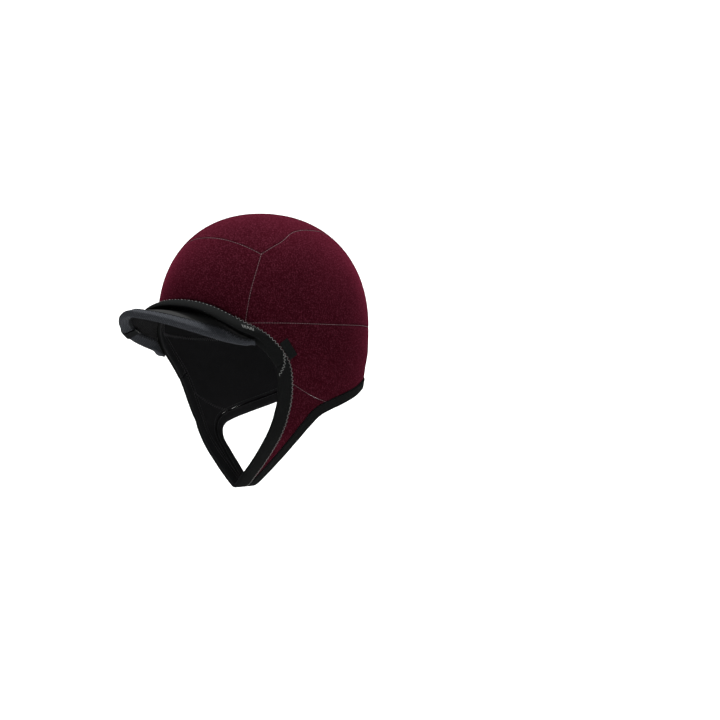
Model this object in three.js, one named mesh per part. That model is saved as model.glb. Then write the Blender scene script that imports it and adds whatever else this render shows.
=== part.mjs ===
// A reversible neoprene surf cap with a small peak and a one-piece chin strap.
// Millimetres, +Z up, the face looks along -Y and the wearer's left is +X.
// The origin is the inner top of the crown, where the wearer's head carries the cap.
import * as THREE from "three";
import { mergeVertices } from "three/addons/utils/BufferGeometryUtils.js";

// Cloth and seams
const CLOTH_WALL = 3;
const SEAM_GAP = 0.3;
const BAND_PROUD = 1;
const BROW_ROLL = 16;
const FACE_BAND_WIDTH = 12;
const NECK_BAND_WIDTH = 9;

// Head form, measured outside the cloth
const HEAD_HALF_WIDTH = 82;
const FOREHEAD_REACH = 100;
const NAPE_REACH = 99;
const CROWN_DEPTH = 98;
const CHIN_DROP = 241;
const DOME_FULLNESS = 2.2;

// Peak
const PEAK_LENGTH = 47;
const PEAK_WALL = 2.6;
const PEAK_ROOT_PLACE = 1.5;
const PEAK_BOW = 1.5;
const PEAK_FAN_PLACE = 0.6;
const TAPE_WIDTH = 9;
const TAPE_THICKNESS = 1;
const TAPE_CLEARANCE = 0.55;
const TAPE_SHARE_OF_RIB = 0.65;
const TAG_WIDTH = 10;
const TAG_THICKNESS = 0.8;
const TAG_PLACE = 0.285;
const TAG_OVERLAP = 1.5;

// Tab behind the band at the wearer's left temple
const TAB_LENGTH = 17;
const TAB_WIDTH = 8;
const TAB_THICKNESS = 1.2;
const TAB_STANDOFF = 1;
const TAB_PLACE = 0.83;

// Steps of the grids along each kind of seam
const BROW_STEPS = 14;
const DOWN_STEPS = 8;
const SIDE_STEPS = 16;
const DIAGONAL_STEPS = 5;
const TEMPLE_STEPS = 5;
const CHEEK_STEPS = 3;
const STRAP_STEPS = 15;
const PEAK_ACROSS = 6;
const PEAK_STEPS = 28;
const PEAK_END_STEPS = 2;
const TAB_STEPS = 4;
const TAB_ACROSS = 3;
const TAG_STEPS = 3;
const LOOP_FINENESS = 100;
const RAY_HALVINGS = 40;
const NORMAL_STEP = 1;
const PATH_FINENESS = 400;
const SIDEWAYS = 0.8;
const WELD_DISTANCE = 1e-3;
const TINY = 1e-9;

const CENTRE = new THREE.Vector3(0, 0, CLOTH_WALL - CROWN_DEPTH);

// Skirt of the form below its widest level. drop is the share of the way from there to the
// chin, the others are shares of the head's half width, forehead reach and nape reach.
const SKIRT_FORM = [
  { drop: 0.0, half_width: 1.0, front: 1.0, back: 1.0 },
  { drop: 0.14, half_width: 0.99, front: 0.975, back: 0.995 },
  { drop: 0.25, half_width: 0.957, front: 0.92, back: 0.97 },
  { drop: 0.36, half_width: 0.908, front: 0.87, back: 0.95 },
  { drop: 0.43, half_width: 0.872, front: 0.84, back: 0.93 },
  { drop: 0.52, half_width: 0.829, front: 0.75, back: 0.9 },
  { drop: 0.6, half_width: 0.787, front: 0.66, back: 0.89 },
  { drop: 0.67, half_width: 0.705, front: 0.66, back: 0.87 },
  { drop: 0.767, half_width: 0.516, front: 0.7, back: 0.72 },
  { drop: 0.866, half_width: 0.312, front: 0.69, back: 0.48 },
  { drop: 0.937, half_width: 0.165, front: 0.57, back: 0.2 },
  { drop: 0.98, half_width: 0.07, front: 0.46, back: -0.08 },
  { drop: 1.0, half_width: 0.0, front: 0.33, back: -0.33 },
];

// Left half of the face opening's edge. across is a share of the head's half width, along of
// the forehead reach in front of the middle and of the nape reach behind it, down of the chin drop.
const FACE_EDGE = [
  { at: "brow", across: 0.0, along: -0.99, down: 0.4 },
  { at: "", across: 0.34, along: -0.93, down: 0.416 },
  { at: "", across: 0.53, along: -0.84, down: 0.45 },
  { at: "temple", across: 0.66, along: -0.745, down: 0.486 },
  { at: "", across: 0.76, along: -0.62, down: 0.516 },
  { at: "", across: 0.81, along: -0.51, down: 0.558 },
  { at: "joint", across: 0.825, along: -0.435, down: 0.598 },
  { at: "cheek", across: 0.79, along: -0.383, down: 0.656 },
  { at: "", across: 0.713, along: -0.35, down: 0.722 },
  { at: "", across: 0.585, along: -0.34, down: 0.807 },
  { at: "", across: 0.455, along: -0.34, down: 0.866 },
  { at: "", across: 0.302, along: -0.34, down: 0.923 },
  { at: "", across: 0.146, along: -0.34, down: 0.965 },
  { at: "chin", across: 0.0, along: -0.335, down: 0.99 },
];

// Left half of the hem round the neck, from the nape to the chin, in the same shares.
const NECK_EDGE = [
  { at: "nape", across: 0.0, along: 0.96, down: 0.63 },
  { at: "rear", across: 0.4, along: 0.9, down: 0.636 },
  { at: "", across: 0.61, along: 0.77, down: 0.652 },
  { at: "", across: 0.73, along: 0.566, down: 0.68 },
  { at: "", across: 0.8, along: 0.364, down: 0.708 },
  { at: "jaw", across: 0.825, along: 0.162, down: 0.741 },
  { at: "", across: 0.81, along: 0.061, down: 0.77 },
  { at: "", across: 0.7, along: -0.01, down: 0.811 },
  { at: "", across: 0.598, along: -0.03, down: 0.84 },
  { at: "", across: 0.463, along: -0.05, down: 0.876 },
  { at: "", across: 0.293, along: -0.075, down: 0.915 },
  { at: "", across: 0.134, along: -0.1, down: 0.945 },
  { at: "chin", across: 0.0, along: -0.11, down: 0.957 },
];

// Inner points of the seams of the left half, in the same shares.
const SEAM_POINTS = {
  junction: { across: 0.646, along: -0.48, down: 0.21 },
  transverse: [
    { across: 0.0, along: -0.7, down: 0.136 },
    { across: 0.366, along: -0.65, down: 0.15 },
  ],
  front_down: [
    { across: 0.7, along: -0.57, down: 0.262 },
    { across: 0.71, along: -0.64, down: 0.335 },
  ],
  top_side: [
    { across: 0.707, along: -0.3, down: 0.145 },
    { across: 0.66, along: -0.15, down: 0.105 },
    { across: 0.636, along: -0.017, down: 0.088 },
    { across: 0.61, along: 0.117, down: 0.081 },
    { across: 0.55, along: 0.28, down: 0.08 },
  ],
  crown_turn: { across: 0.47, along: 0.6, down: 0.115 },
  back_side: [{ across: 0.43, along: 0.85, down: 0.22 }],
  back_point: { across: 0.427, along: 0.96, down: 0.4 },
  horizontal: [
    { across: 0.92, along: -0.39, down: 0.438 },
    { across: 0.995, along: 0.1, down: 0.43 },
    { across: 0.88, along: 0.5, down: 0.417 },
  ],
  back_middle: { across: 0.0, along: 1.0, down: 0.395 },
  diagonal: [{ across: 0.84, along: -0.05, down: 0.683 }],
};

// Peak's outer edge over its left half: across as a share of the head's half width, forward
// as a share of the peak's length past the forehead, down as a share of the chin drop.
const PEAK_EDGE = [
  { across: 0, forward: 1.056, down: 0.414 },
  { across: 0.14, forward: 1.006, down: 0.422 },
  { across: 0.265, forward: 0.879, down: 0.432 },
  { across: 0.383, forward: 0.692, down: 0.446 },
  { across: 0.483, forward: 0.458, down: 0.462 },
  { across: 0.553, forward: 0.186, down: 0.478 },
  { across: 0.592, forward: -0.1, down: 0.492 },
  { across: 0.615, forward: -0.385, down: 0.505 },
  { across: 0.7, forward: -0.585, down: 0.514 },
  { across: 0.785, forward: -0.765, down: 0.517 },
];

// Section of a folded band, once round from its upper face. in is a share of its width from the
// free edge, level a share of its proud height above the form and of the cloth wall below it.
const BAND_SECTION = [
  { in: 0.14, level: 1.0, roll: 0.0 },
  { in: 0.5, level: 1.0, roll: 0.0 },
  { in: 0.86, level: 1.0, roll: 0.0 },
  { in: 1.0, level: 0.5, roll: 0.0 },
  { in: 1.0, level: -1.0, roll: 0.0 },
  { in: 0.6, level: -1.0, roll: 0.0 },
  { in: 0.2, level: -1.0, roll: 0.0 },
  { in: 0.05, level: -0.88, roll: 0.0 },
  { in: 0.0, level: -0.6, roll: 0.0 },
  { in: 0.03, level: 0.1, roll: 0.0 },
];

// The brow's band in the same columns. roll is a share of the height of its overhanging roll.
const BROW_SECTION = [
  { in: 0.09, level: 1.0, roll: 0.0 },
  { in: 0.36, level: 1.0, roll: 0.0 },
  { in: 0.385, level: 1.0, roll: 0.9 },
  { in: 0.43, level: 1.0, roll: 1.0 },
  { in: 0.62, level: 1.0, roll: 0.93 },
  { in: 0.8, level: 1.0, roll: 0.73 },
  { in: 0.93, level: 1.0, roll: 0.43 },
  { in: 1.0, level: 0.5, roll: 0.08 },
  { in: 1.0, level: -1.0, roll: 0.0 },
  { in: 0.6, level: -1.0, roll: 0.0 },
  { in: 0.2, level: -1.0, roll: 0.0 },
  { in: 0.05, level: -0.88, roll: 0.0 },
  { in: 0.0, level: -0.6, roll: 0.0 },
  { in: 0.02, level: 0.1, roll: 0.0 },
];

// Upper half of the tape's rounded nose: in as a share of its reach, up of its half height.
const NOSE_SECTION = [
  { in: 0.5, up: 0.8 },
  { in: 1.0, up: 0.35 },
];

// Half width and half lengths of the form at a drop below the outer top.
function formSection(drop) {
  if (drop <= CROWN_DEPTH) {
    const rise = Math.max(0, 1 - drop / CROWN_DEPTH);
    const share = Math.pow(Math.max(TINY, 1 - Math.pow(rise, DOME_FULLNESS)), 1 / DOME_FULLNESS);
    return {
      halfWidth: HEAD_HALF_WIDTH * share,
      front: FOREHEAD_REACH * share,
      back: NAPE_REACH * share,
    };
  }
  const share = Math.min(1, (drop - CROWN_DEPTH) / (CHIN_DROP - CROWN_DEPTH));
  const squareWidth = smoothColumn(share, (row) => row.half_width ** 2);
  const front = smoothColumn(share, (row) => row.front);
  const back = smoothColumn(share, (row) => row.back);
  return {
    halfWidth: HEAD_HALF_WIDTH * Math.sqrt(Math.max(0, squareWidth)),
    front: FOREHEAD_REACH * front,
    back: NAPE_REACH * back,
  };
}

// One column of the skirt table, eased between its rows by a monotone cubic.
function smoothColumn(share, pick) {
  const rows = SKIRT_FORM;
  let i = 0;
  while (i < rows.length - 2 && share > rows[i + 1].drop) i += 1;
  const slope = (k) => {
    if (k < 0 || k > rows.length - 2) return null;
    return (pick(rows[k + 1]) - pick(rows[k])) / (rows[k + 1].drop - rows[k].drop);
  };
  const tangent = (k) => {
    const before = slope(k - 1);
    const after = slope(k);
    if (before === null) return k === 0 ? 0 : after;
    if (after === null) return before;
    return before * after <= 0 ? 0 : (2 * before * after) / (before + after);
  };
  const span = rows[i + 1].drop - rows[i].drop;
  const t = (share - rows[i].drop) / span;
  const a = pick(rows[i]);
  const b = pick(rows[i + 1]);
  const easeIn = t * t * (3 - 2 * t);
  const bendA = t * (1 - t) * (1 - t) * span * tangent(i);
  const bendB = t * t * (t - 1) * span * tangent(i + 1);
  return a + (b - a) * easeIn + bendA + bendB;
}

// Below 1 inside the form, 1 on its outer face.
function formLevel(p) {
  const drop = CLOTH_WALL - p.z;
  if (drop < 0 || drop > CHIN_DROP) return 2 + Math.abs(drop);
  const { halfWidth, front, back } = formSection(drop);
  const middle = (back - front) / 2;
  const half = Math.max(TINY, (back + front) / 2);
  return (p.x / Math.max(TINY, halfWidth)) ** 2 + ((p.y - middle) / half) ** 2;
}

// The outer face of the form along the ray from its centre through p.
function onForm(p) {
  const ray = p.clone().sub(CENTRE).normalize();
  let near = 0;
  let far = CHIN_DROP;
  for (let k = 0; k < RAY_HALVINGS; k += 1) {
    const reach = (near + far) / 2;
    if (formLevel(CENTRE.clone().addScaledVector(ray, reach)) < 1) near = reach;
    else far = reach;
  }
  return CENTRE.clone().addScaledVector(ray, near);
}

// Outward normal of the form, from two short steps along it.
function formNormal(p) {
  const ray = p.clone().sub(CENTRE).normalize();
  const helper = Math.abs(ray.x) < SIDEWAYS ? new THREE.Vector3(1, 0, 0) : new THREE.Vector3(0, 1, 0);
  const u = new THREE.Vector3().crossVectors(ray, helper).normalize();
  const v = new THREE.Vector3().crossVectors(ray, u);
  const beside = (way, step) => onForm(p.clone().addScaledVector(way, step));
  const across = beside(u, NORMAL_STEP).sub(beside(u, -NORMAL_STEP));
  const along = beside(v, NORMAL_STEP).sub(beside(v, -NORMAL_STEP));
  return new THREE.Vector3().crossVectors(across, along).normalize();
}

// A table row as a point on the form.
function rowPoint(row) {
  const reach = row.along < 0 ? FOREHEAD_REACH : NAPE_REACH;
  return onForm(
    new THREE.Vector3(
      row.across * HEAD_HALF_WIDTH,
      row.along * reach,
      CLOTH_WALL - row.down * CHIN_DROP,
    ),
  );
}

const mirror = (p) => new THREE.Vector3(-p.x, p.y, p.z);
const reversed = (path) => [...path].reverse();
const mirroredPath = (path) => path.map(mirror);
const mirroredGrid = (grid) => grid.map((row) => reversed(mirroredPath(row)));

// A smooth path over the form through points, as steps + 1 evenly spaced points.
function pathOver(points, steps) {
  const curve = new THREE.CatmullRomCurve3(points, false, "centripetal");
  curve.arcLengthDivisions = PATH_FINENESS;
  return curve.getSpacedPoints(steps).map((p, i) => {
    if (i === 0) return points[0].clone();
    return i === steps ? points[points.length - 1].clone() : onForm(p);
  });
}

// Half of a symmetric path from its middle point to its left end, smooth over the middle.
function halfOver(points, steps) {
  const whole = [...reversed(mirroredPath(points.slice(1))), ...points];
  return pathOver(whole, 2 * steps).slice(steps);
}

// Points of a half loop between its named rows, taken from one closed curve through its rows
// and their mirror images.
function loopStretches(rows, counts) {
  const own = rows.map(rowPoint);
  const others = reversed(mirroredPath(own.slice(1, -1)));
  const curve = new THREE.CatmullRomCurve3([...others, ...own], true, "centripetal");
  const rowCount = others.length + own.length;
  curve.arcLengthDivisions = rowCount * LOOP_FINENESS;
  const lengths = curve.getLengths();
  const placeOf = (i) => lengths[(others.length + i) * LOOP_FINENESS] / lengths.at(-1);
  const stretches = {};
  let from = 0;
  for (const [name, steps] of counts) {
    const to = rows.findIndex((row) => row.at === name);
    stretches[name] = [];
    for (let k = 0; k <= steps; k += 1) {
      const place = placeOf(from) + ((placeOf(to) - placeOf(from)) * k) / steps;
      stretches[name].push(onForm(curve.getPointAt(place)));
    }
    from = to;
  }
  return stretches;
}

// The points a given width inside half a loop's edge, square to the edge along the form.
function inset(edge, width) {
  return edge.map((p, i) => {
    const back = edge[i - 1] ?? mirror(edge[1]);
    const next = edge[i + 1] ?? mirror(edge.at(-2));
    const along = next.clone().sub(back).normalize();
    const side = new THREE.Vector3().crossVectors(formNormal(p), along).normalize();
    return onForm(p.clone().addScaledVector(side, width));
  });
}

// A closed mesh from rings of equal count, joined in order. The last ring is joined to the
// first, or each end is closed by a strip between the two halves of its ring.
function ringSolid(rings, closed) {
  const faces = [];
  const count = rings[0].length;
  const quad = (a, b, c, d) => faces.push([a, b, c], [a, c, d]);
  const last = closed ? rings.length : rings.length - 1;
  for (let r = 0; r < last; r += 1) {
    const here = r * count;
    const there = ((r + 1) % rings.length) * count;
    for (let k = 0; k < count; k += 1) {
      const next = (k + 1) % count;
      quad(here + k, there + k, there + next, here + next);
    }
  }
  if (!closed) {
    const end = (rings.length - 1) * count;
    for (let k = 0; k < count / 2 - 1; k += 1) {
      const across = count - 1 - k;
      quad(k, k + 1, across - 1, across);
      quad(end + k, end + across, end + across - 1, end + k + 1);
    }
  }
  return solidGeometry(rings.flat(), faces);
}

// An indexed geometry with its faces turned outwards.
function solidGeometry(vertices, faces) {
  let volume = 0;
  faces.forEach(([a, b, c]) => {
    volume += vertices[a].dot(new THREE.Vector3().crossVectors(vertices[b], vertices[c]));
  });
  const index = faces.flatMap(([a, b, c]) => (volume > 0 ? [a, b, c] : [a, c, b]));
  const geometry = new THREE.BufferGeometry();
  const positions = vertices.flatMap((p) => [p.x, p.y, p.z]);
  geometry.setAttribute("position", new THREE.Float32BufferAttribute(positions, 3));
  geometry.setIndex(index);
  const merged = mergeVertices(geometry, WELD_DISTANCE);
  merged.computeVertexNormals();
  return merged;
}

// A grid of points between four edge paths, laid over the form. top and bottom run the same
// way, left joins their first points and right their last ones.
function gridBetween(top, bottom, left, right) {
  const columns = top.length - 1;
  const rows = left.length - 1;
  const grid = [];
  for (let j = 0; j <= rows; j += 1) {
    const v = j / rows;
    grid.push([]);
    for (let i = 0; i <= columns; i += 1) {
      const u = i / columns;
      const p = new THREE.Vector3()
        .addScaledVector(top[i], 1 - v)
        .addScaledVector(bottom[i], v)
        .addScaledVector(left[j], 1 - u)
        .addScaledVector(right[j], u)
        .addScaledVector(top[0], -(1 - u) * (1 - v))
        .addScaledVector(top[columns], -u * (1 - v))
        .addScaledVector(bottom[0], -(1 - u) * v)
        .addScaledVector(bottom[columns], -u * v);
      const rim = i === 0 || j === 0 || i === columns || j === rows;
      grid[j].push(rim ? p : onForm(p));
    }
  }
  return grid;
}

// The grid with its rim drawn in by half a seam gap.
function drawnIn(grid) {
  const rows = grid.length - 1;
  const columns = grid[0].length - 1;
  const drawn = grid.map((row) => row.map((p) => p.clone()));
  const pull = (j, i, dj, di) => {
    const along = dj === 0
      ? grid[Math.min(rows, j + 1)][i].clone().sub(grid[Math.max(0, j - 1)][i])
      : grid[j][Math.min(columns, i + 1)].clone().sub(grid[j][Math.max(0, i - 1)]);
    const inward = grid[j + dj][i + di].clone().sub(grid[j][i]);
    inward.addScaledVector(along, -inward.dot(along) / along.lengthSq()).normalize();
    drawn[j][i].addScaledVector(inward, SEAM_GAP / 2);
  };
  for (let i = 0; i <= columns; i += 1) {
    pull(0, i, 1, 0);
    pull(rows, i, -1, 0);
  }
  for (let j = 0; j <= rows; j += 1) {
    pull(j, 0, 0, 1);
    pull(j, columns, 0, -1);
  }
  return drawn;
}

// A cloth panel: the grid's outer face, a second face one wall further in, and the rim.
function panelGeometry(grid, outerLevel = 0, innerLevel = -CLOTH_WALL) {
  const rows = grid.length;
  const columns = grid[0].length;
  const vertices = [];
  const faces = [];
  const lift = (level) => grid.forEach((row) => row.forEach((p) => {
    vertices.push(p.clone().addScaledVector(formNormal(p), level));
  }));
  lift(outerLevel);
  lift(innerLevel);
  const inner = rows * columns;
  const quad = (a, b, c, d) => faces.push([a, b, c], [a, c, d]);
  for (let j = 0; j < rows - 1; j += 1) {
    for (let i = 0; i < columns - 1; i += 1) {
      const a = j * columns + i;
      quad(a, a + 1, a + columns + 1, a + columns);
      quad(inner + a, inner + a + columns, inner + a + columns + 1, inner + a + 1);
    }
  }
  const rim = [];
  for (let i = 0; i < columns; i += 1) rim.push(i);
  for (let j = 1; j < rows; j += 1) rim.push(j * columns + columns - 1);
  for (let i = columns - 2; i >= 0; i -= 1) rim.push((rows - 1) * columns + i);
  for (let j = rows - 2; j > 0; j -= 1) rim.push(j * columns);
  rim.forEach((a, k) => {
    const b = rim[(k + 1) % rim.length];
    quad(b, a, inner + a, inner + b);
  });
  return solidGeometry(vertices, faces);
}

// Rings of a folded band between its free edge and the line where the panels begin. rollAt gives
// the height of the section's roll at each ring.
function bandRings(edge, seam, section = BAND_SECTION, rollAt = () => 0) {
  return edge.map((free, i) => {
    const panelSide = seam[i];
    const width = panelSide.distanceTo(free);
    const full = (width - SEAM_GAP / 2) / width;
    return section.map((row) => {
      const p = onForm(free.clone().lerp(panelSide, row.in * full));
      const height = row.level > 0 ? row.level * BAND_PROUD : row.level * CLOTH_WALL;
      return p.addScaledVector(formNormal(p), height + row.roll * rollAt(i));
    });
  });
}

// Moves a cut end of a path in by half a seam gap.
function trimmedEnds(path) {
  const trimmed = path.map((p) => p.clone());
  const last = path.length - 1;
  const step = (from, to) => to.clone().sub(from).setLength(SEAM_GAP / 2);
  trimmed[0].add(step(path[0], path[1]));
  trimmed[last].add(step(path[last], path[last - 1]));
  return trimmed;
}

// Edges of the two openings, and the lines where the panels begin

const face = loopStretches(FACE_EDGE, [
  ["temple", BROW_STEPS / 2],
  ["joint", TEMPLE_STEPS],
  ["cheek", CHEEK_STEPS],
  ["chin", STRAP_STEPS],
]);
const neck = loopStretches(NECK_EDGE, [
  ["rear", BROW_STEPS / 2],
  ["jaw", SIDE_STEPS - DIAGONAL_STEPS],
  ["chin", STRAP_STEPS],
]);

const joinPaths = (...paths) => paths.flatMap((path, i) => (i === 0 ? path : path.slice(1)));
const faceHalf = joinPaths(face.temple, face.joint, face.cheek, face.chin);
const neckHalf = joinPaths(neck.rear, neck.jaw, neck.chin);
const faceSeamHalf = inset(faceHalf, FACE_BAND_WIDTH);
const neckSeamHalf = inset(neckHalf, -NECK_BAND_WIDTH);

const TEMPLE = BROW_STEPS / 2;
const JOINT = TEMPLE + TEMPLE_STEPS;
const CHEEK = JOINT + CHEEK_STEPS;
const REAR = BROW_STEPS / 2;
const JAW = REAR + SIDE_STEPS - DIAGONAL_STEPS;

// Seam paths of the left half

const junction = rowPoint(SEAM_POINTS.junction);
const crownTurn = rowPoint(SEAM_POINTS.crown_turn);
const backPoint = rowPoint(SEAM_POINTS.back_point);
const templePoint = faceSeamHalf[TEMPLE];
const cheekPoint = faceSeamHalf[CHEEK];
const jawPoint = neckSeamHalf[JAW];
const rearPoint = neckSeamHalf[REAR];
const rowPath = (from, rows, to, steps) => pathOver([from, ...rows.map(rowPoint), to], steps);

const transverseRows = [...SEAM_POINTS.transverse, SEAM_POINTS.junction];
const transverseHalf = halfOver(transverseRows.map(rowPoint), BROW_STEPS / 2);
const frontDown = rowPath(junction, SEAM_POINTS.front_down, templePoint, DOWN_STEPS);
const topSide = rowPath(junction, SEAM_POINTS.top_side, crownTurn, SIDE_STEPS);
const backSide = rowPath(crownTurn, SEAM_POINTS.back_side, backPoint, DOWN_STEPS);
const horizontal = rowPath(templePoint, SEAM_POINTS.horizontal, backPoint, SIDE_STEPS);
const backHalf = halfOver([rowPoint(SEAM_POINTS.back_middle), backPoint], BROW_STEPS / 2);
const rearDown = rowPath(backPoint, [], rearPoint, TEMPLE_STEPS + CHEEK_STEPS);
const diagonal = rowPath(cheekPoint, SEAM_POINTS.diagonal, jawPoint, DIAGONAL_STEPS);

// A path from the mirrored side to the left one, through its middle point.
const acrossMiddle = (half) => [...reversed(mirroredPath(half)).slice(0, -1), ...half];

// Grids of the panels

const transverse = acrossMiddle(transverseHalf);
const backSeam = acrossMiddle(backHalf);
const browSeam = acrossMiddle(faceSeamHalf.slice(0, TEMPLE + 1));
const napeSeam = acrossMiddle(neckSeamHalf.slice(0, REAR + 1));
const crownSide = joinPaths(topSide, backSide);
const lowerFront = faceSeamHalf.slice(TEMPLE, CHEEK + 1);
const lowerHem = joinPaths(diagonal, reversed(neckSeamHalf.slice(REAR, JAW + 1)));
const strapFace = acrossMiddle(reversed(faceSeamHalf.slice(CHEEK)));
const strapNeck = acrossMiddle(reversed(neckSeamHalf.slice(JAW)));

const frontGrid = gridBetween(transverse, browSeam, mirroredPath(frontDown), frontDown);
const crownGrid = gridBetween(transverse, backSeam, mirroredPath(crownSide), crownSide);
const backGrid = gridBetween(backSeam, napeSeam, mirroredPath(rearDown), rearDown);
const upperSideGrid = gridBetween(topSide, horizontal, frontDown, backSide);
const lowerSideGrid = gridBetween(horizontal, lowerHem, lowerFront, rearDown);

const strapGrid = gridBetween(strapFace, strapNeck, mirroredPath(diagonal), diagonal);

// Bands

const browEdge = acrossMiddle(faceHalf.slice(0, JOINT + 1));
const browLine = acrossMiddle(faceSeamHalf.slice(0, JOINT + 1));
const cheekEdge = acrossMiddle(reversed(faceHalf.slice(JOINT)));
const cheekLine = acrossMiddle(reversed(faceSeamHalf.slice(JOINT)));
const neckEdge = acrossMiddle(neckHalf).slice(0, -1);
const neckLine = acrossMiddle(neckSeamHalf).slice(0, -1);

// The roll is full over the forehead and runs out before the joint with the cheek bands.
function browRoll(i) {
  const fromMiddle = Math.abs(i - JOINT);
  return BROW_ROLL * (1 - THREE.MathUtils.smoothstep(fromMiddle, TEMPLE - 1, JOINT - 2));
}

// Peak: ribs run from the root on the brow band out to the free edge.

function peakRibs() {
  const rootHalf = faceHalf.slice(0, TEMPLE + PEAK_END_STEPS + 1).map((free, i) => {
    const p = onForm(free.clone().lerp(faceSeamHalf[i], PEAK_ROOT_PLACE / FACE_BAND_WIDTH));
    return p.addScaledVector(formNormal(p), BAND_PROUD + SEAM_GAP);
  });
  const root = acrossMiddle(rootHalf);
  const edgeRows = PEAK_EDGE.map((row) => new THREE.Vector3(
    row.across * HEAD_HALF_WIDTH,
    -FOREHEAD_REACH - row.forward * PEAK_LENGTH,
    CLOTH_WALL - row.down * CHIN_DROP,
  ));
  const edgeCurve = new THREE.CatmullRomCurve3(acrossMiddle(edgeRows), false, "centripetal");
  const fan = (p) => Math.atan2(p.x, -(p.y + PEAK_FAN_PLACE * FOREHEAD_REACH));
  const rootAt = (angle) => {
    let i = 0;
    while (i < root.length - 2 && fan(root[i + 1]) < angle) i += 1;
    const from = fan(root[i]);
    const share = (angle - from) / (fan(root[i + 1]) - from);
    return root[i].clone().lerp(root[i + 1], Math.min(1, Math.max(0, share)));
  };
  const edge = edgeCurve.getSpacedPoints(PEAK_STEPS);
  return edge.map((tip, k) => {
    const foot = rootAt(fan(tip));
    const before = edge[Math.max(0, k - 1)];
    const along = edge[Math.min(PEAK_STEPS, k + 1)].clone().sub(before).normalize();
    const out = tip.clone().sub(foot);
    const up = new THREE.Vector3().crossVectors(out, along);
    const skew = up.length() / out.length();
    up.normalize();
    const faceNormal = formNormal(foot);
    foot.addScaledVector(faceNormal, (PEAK_WALL / 2) * Math.abs(up.dot(faceNormal)));
    return { foot, tip, up, width: tip.distanceTo(foot), skew };
  });
}

// A point of the peak's sheet: in is how far inside the free edge, up how far above the middle.
function sheetPoint(rib, inward, up) {
  const share = Math.max(0, inward / rib.width);
  const bow = 4 * share * (1 - share) * PEAK_BOW * (rib.width / PEAK_LENGTH);
  const outward = rib.tip.clone().sub(rib.foot).normalize();
  return rib.tip.clone().addScaledVector(outward, -inward).addScaledVector(rib.up, bow + up);
}

// A folded strip round the peak's edge: clearance off the panel, thickness and leg length.
function foldedStrip(ribs, clearance, thickness, reach) {
  const half = PEAK_WALL / 2 + clearance;
  const outside = half + thickness;
  const nose = clearance + thickness;
  return ribs.map((rib) => {
    const leg = Math.min(reach / rib.skew, rib.width * TAPE_SHARE_OF_RIB);
    const noseLine = NOSE_SECTION.map((row) => ({ in: -nose * row.in, up: outside * row.up }));
    const outerHalf = [
      { in: leg, up: outside },
      { in: leg / 2, up: outside },
      { in: thickness, up: outside },
      ...noseLine,
    ];
    const innerHalf = [
      { in: -clearance, up: half * NOSE_SECTION.at(-1).up },
      { in: -clearance, up: half },
      { in: thickness, up: half },
      { in: leg / 2, up: half },
      { in: leg, up: half },
    ];
    const below = (rows) => rows.map((row) => ({ in: row.in, up: -row.up })).reverse();
    const section = [...outerHalf, ...below(outerHalf), ...below(innerHalf), ...innerHalf];
    return section.map((row) => sheetPoint(rib, row.in, row.up));
  });
}

// The peak's sheet: an upper and a lower face between the ribs' feet and tips.
function peakPanelGeometry(ribs) {
  const rings = ribs.map((rib) => {
    const face = (up) => {
      const line = [];
      for (let k = 0; k <= PEAK_ACROSS; k += 1) {
        line.push(sheetPoint(rib, rib.width * (1 - k / PEAK_ACROSS), up));
      }
      return line;
    };
    return [...face(PEAK_WALL / 2), ...reversed(face(-PEAK_WALL / 2))];
  });
  return ringSolid(rings, false);
}

// The tag's ribs: a short stretch of the peak's edge on the wearer's right, evenly resampled.
function tagRibs(ribs) {
  const middle = TAG_PLACE * PEAK_STEPS;
  const stepLength = ribs[0].tip.distanceTo(ribs[1].tip);
  const spread = TAG_WIDTH / stepLength;
  const blend = (place) => {
    const i = Math.floor(place);
    const t = place - i;
    const a = ribs[i];
    const b = ribs[i + 1];
    return {
      foot: a.foot.clone().lerp(b.foot, t),
      tip: a.tip.clone().lerp(b.tip, t),
      up: a.up.clone().lerp(b.up, t).normalize(),
      width: THREE.MathUtils.lerp(a.width, b.width, t),
      skew: THREE.MathUtils.lerp(a.skew, b.skew, t),
    };
  };
  const cuts = Array.from({ length: TAG_STEPS + 1 }, (_, k) => k / TAG_STEPS - 0.5);
  return cuts.map((share) => blend(middle + share * spread));
}

// The temple tab lies over the lower side panel, square to the face band.
function tabGrid() {
  const line = faceSeamHalf.slice(TEMPLE, JOINT + 1);
  const curve = new THREE.CatmullRomCurve3(line, false, "centripetal");
  const middle = curve.getPointAt(TAB_PLACE);
  const along = curve.getTangentAt(TAB_PLACE);
  const side = new THREE.Vector3().crossVectors(formNormal(middle), along).normalize();
  const grid = [];
  for (let j = 0; j <= TAB_STEPS; j += 1) {
    grid.push([]);
    for (let i = 0; i <= TAB_ACROSS; i += 1) {
      const p = middle.clone()
        .addScaledVector(along, TAB_LENGTH * (j / TAB_STEPS - 0.5))
        .addScaledVector(side, TAB_STANDOFF + (TAB_WIDTH * i) / TAB_ACROSS);
      grid[j].push(onForm(p));
    }
  }
  return grid;
}

const cloth = (color, roughness) => new THREE.MeshStandardMaterial({ color, roughness, metalness: 0 });
const MAROON_CLOTH = cloth(0x4b101d, 0.95);
const BLACK_CLOTH = cloth(0x16181a, 0.8);
const SLATE_TAPE = cloth(0x32363d, 0.75);

const cap = new THREE.Group();

function add(name, geometry, material) {
  const mesh = new THREE.Mesh(geometry, material.clone());
  mesh.name = name;
  cap.add(mesh);
}

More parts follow.
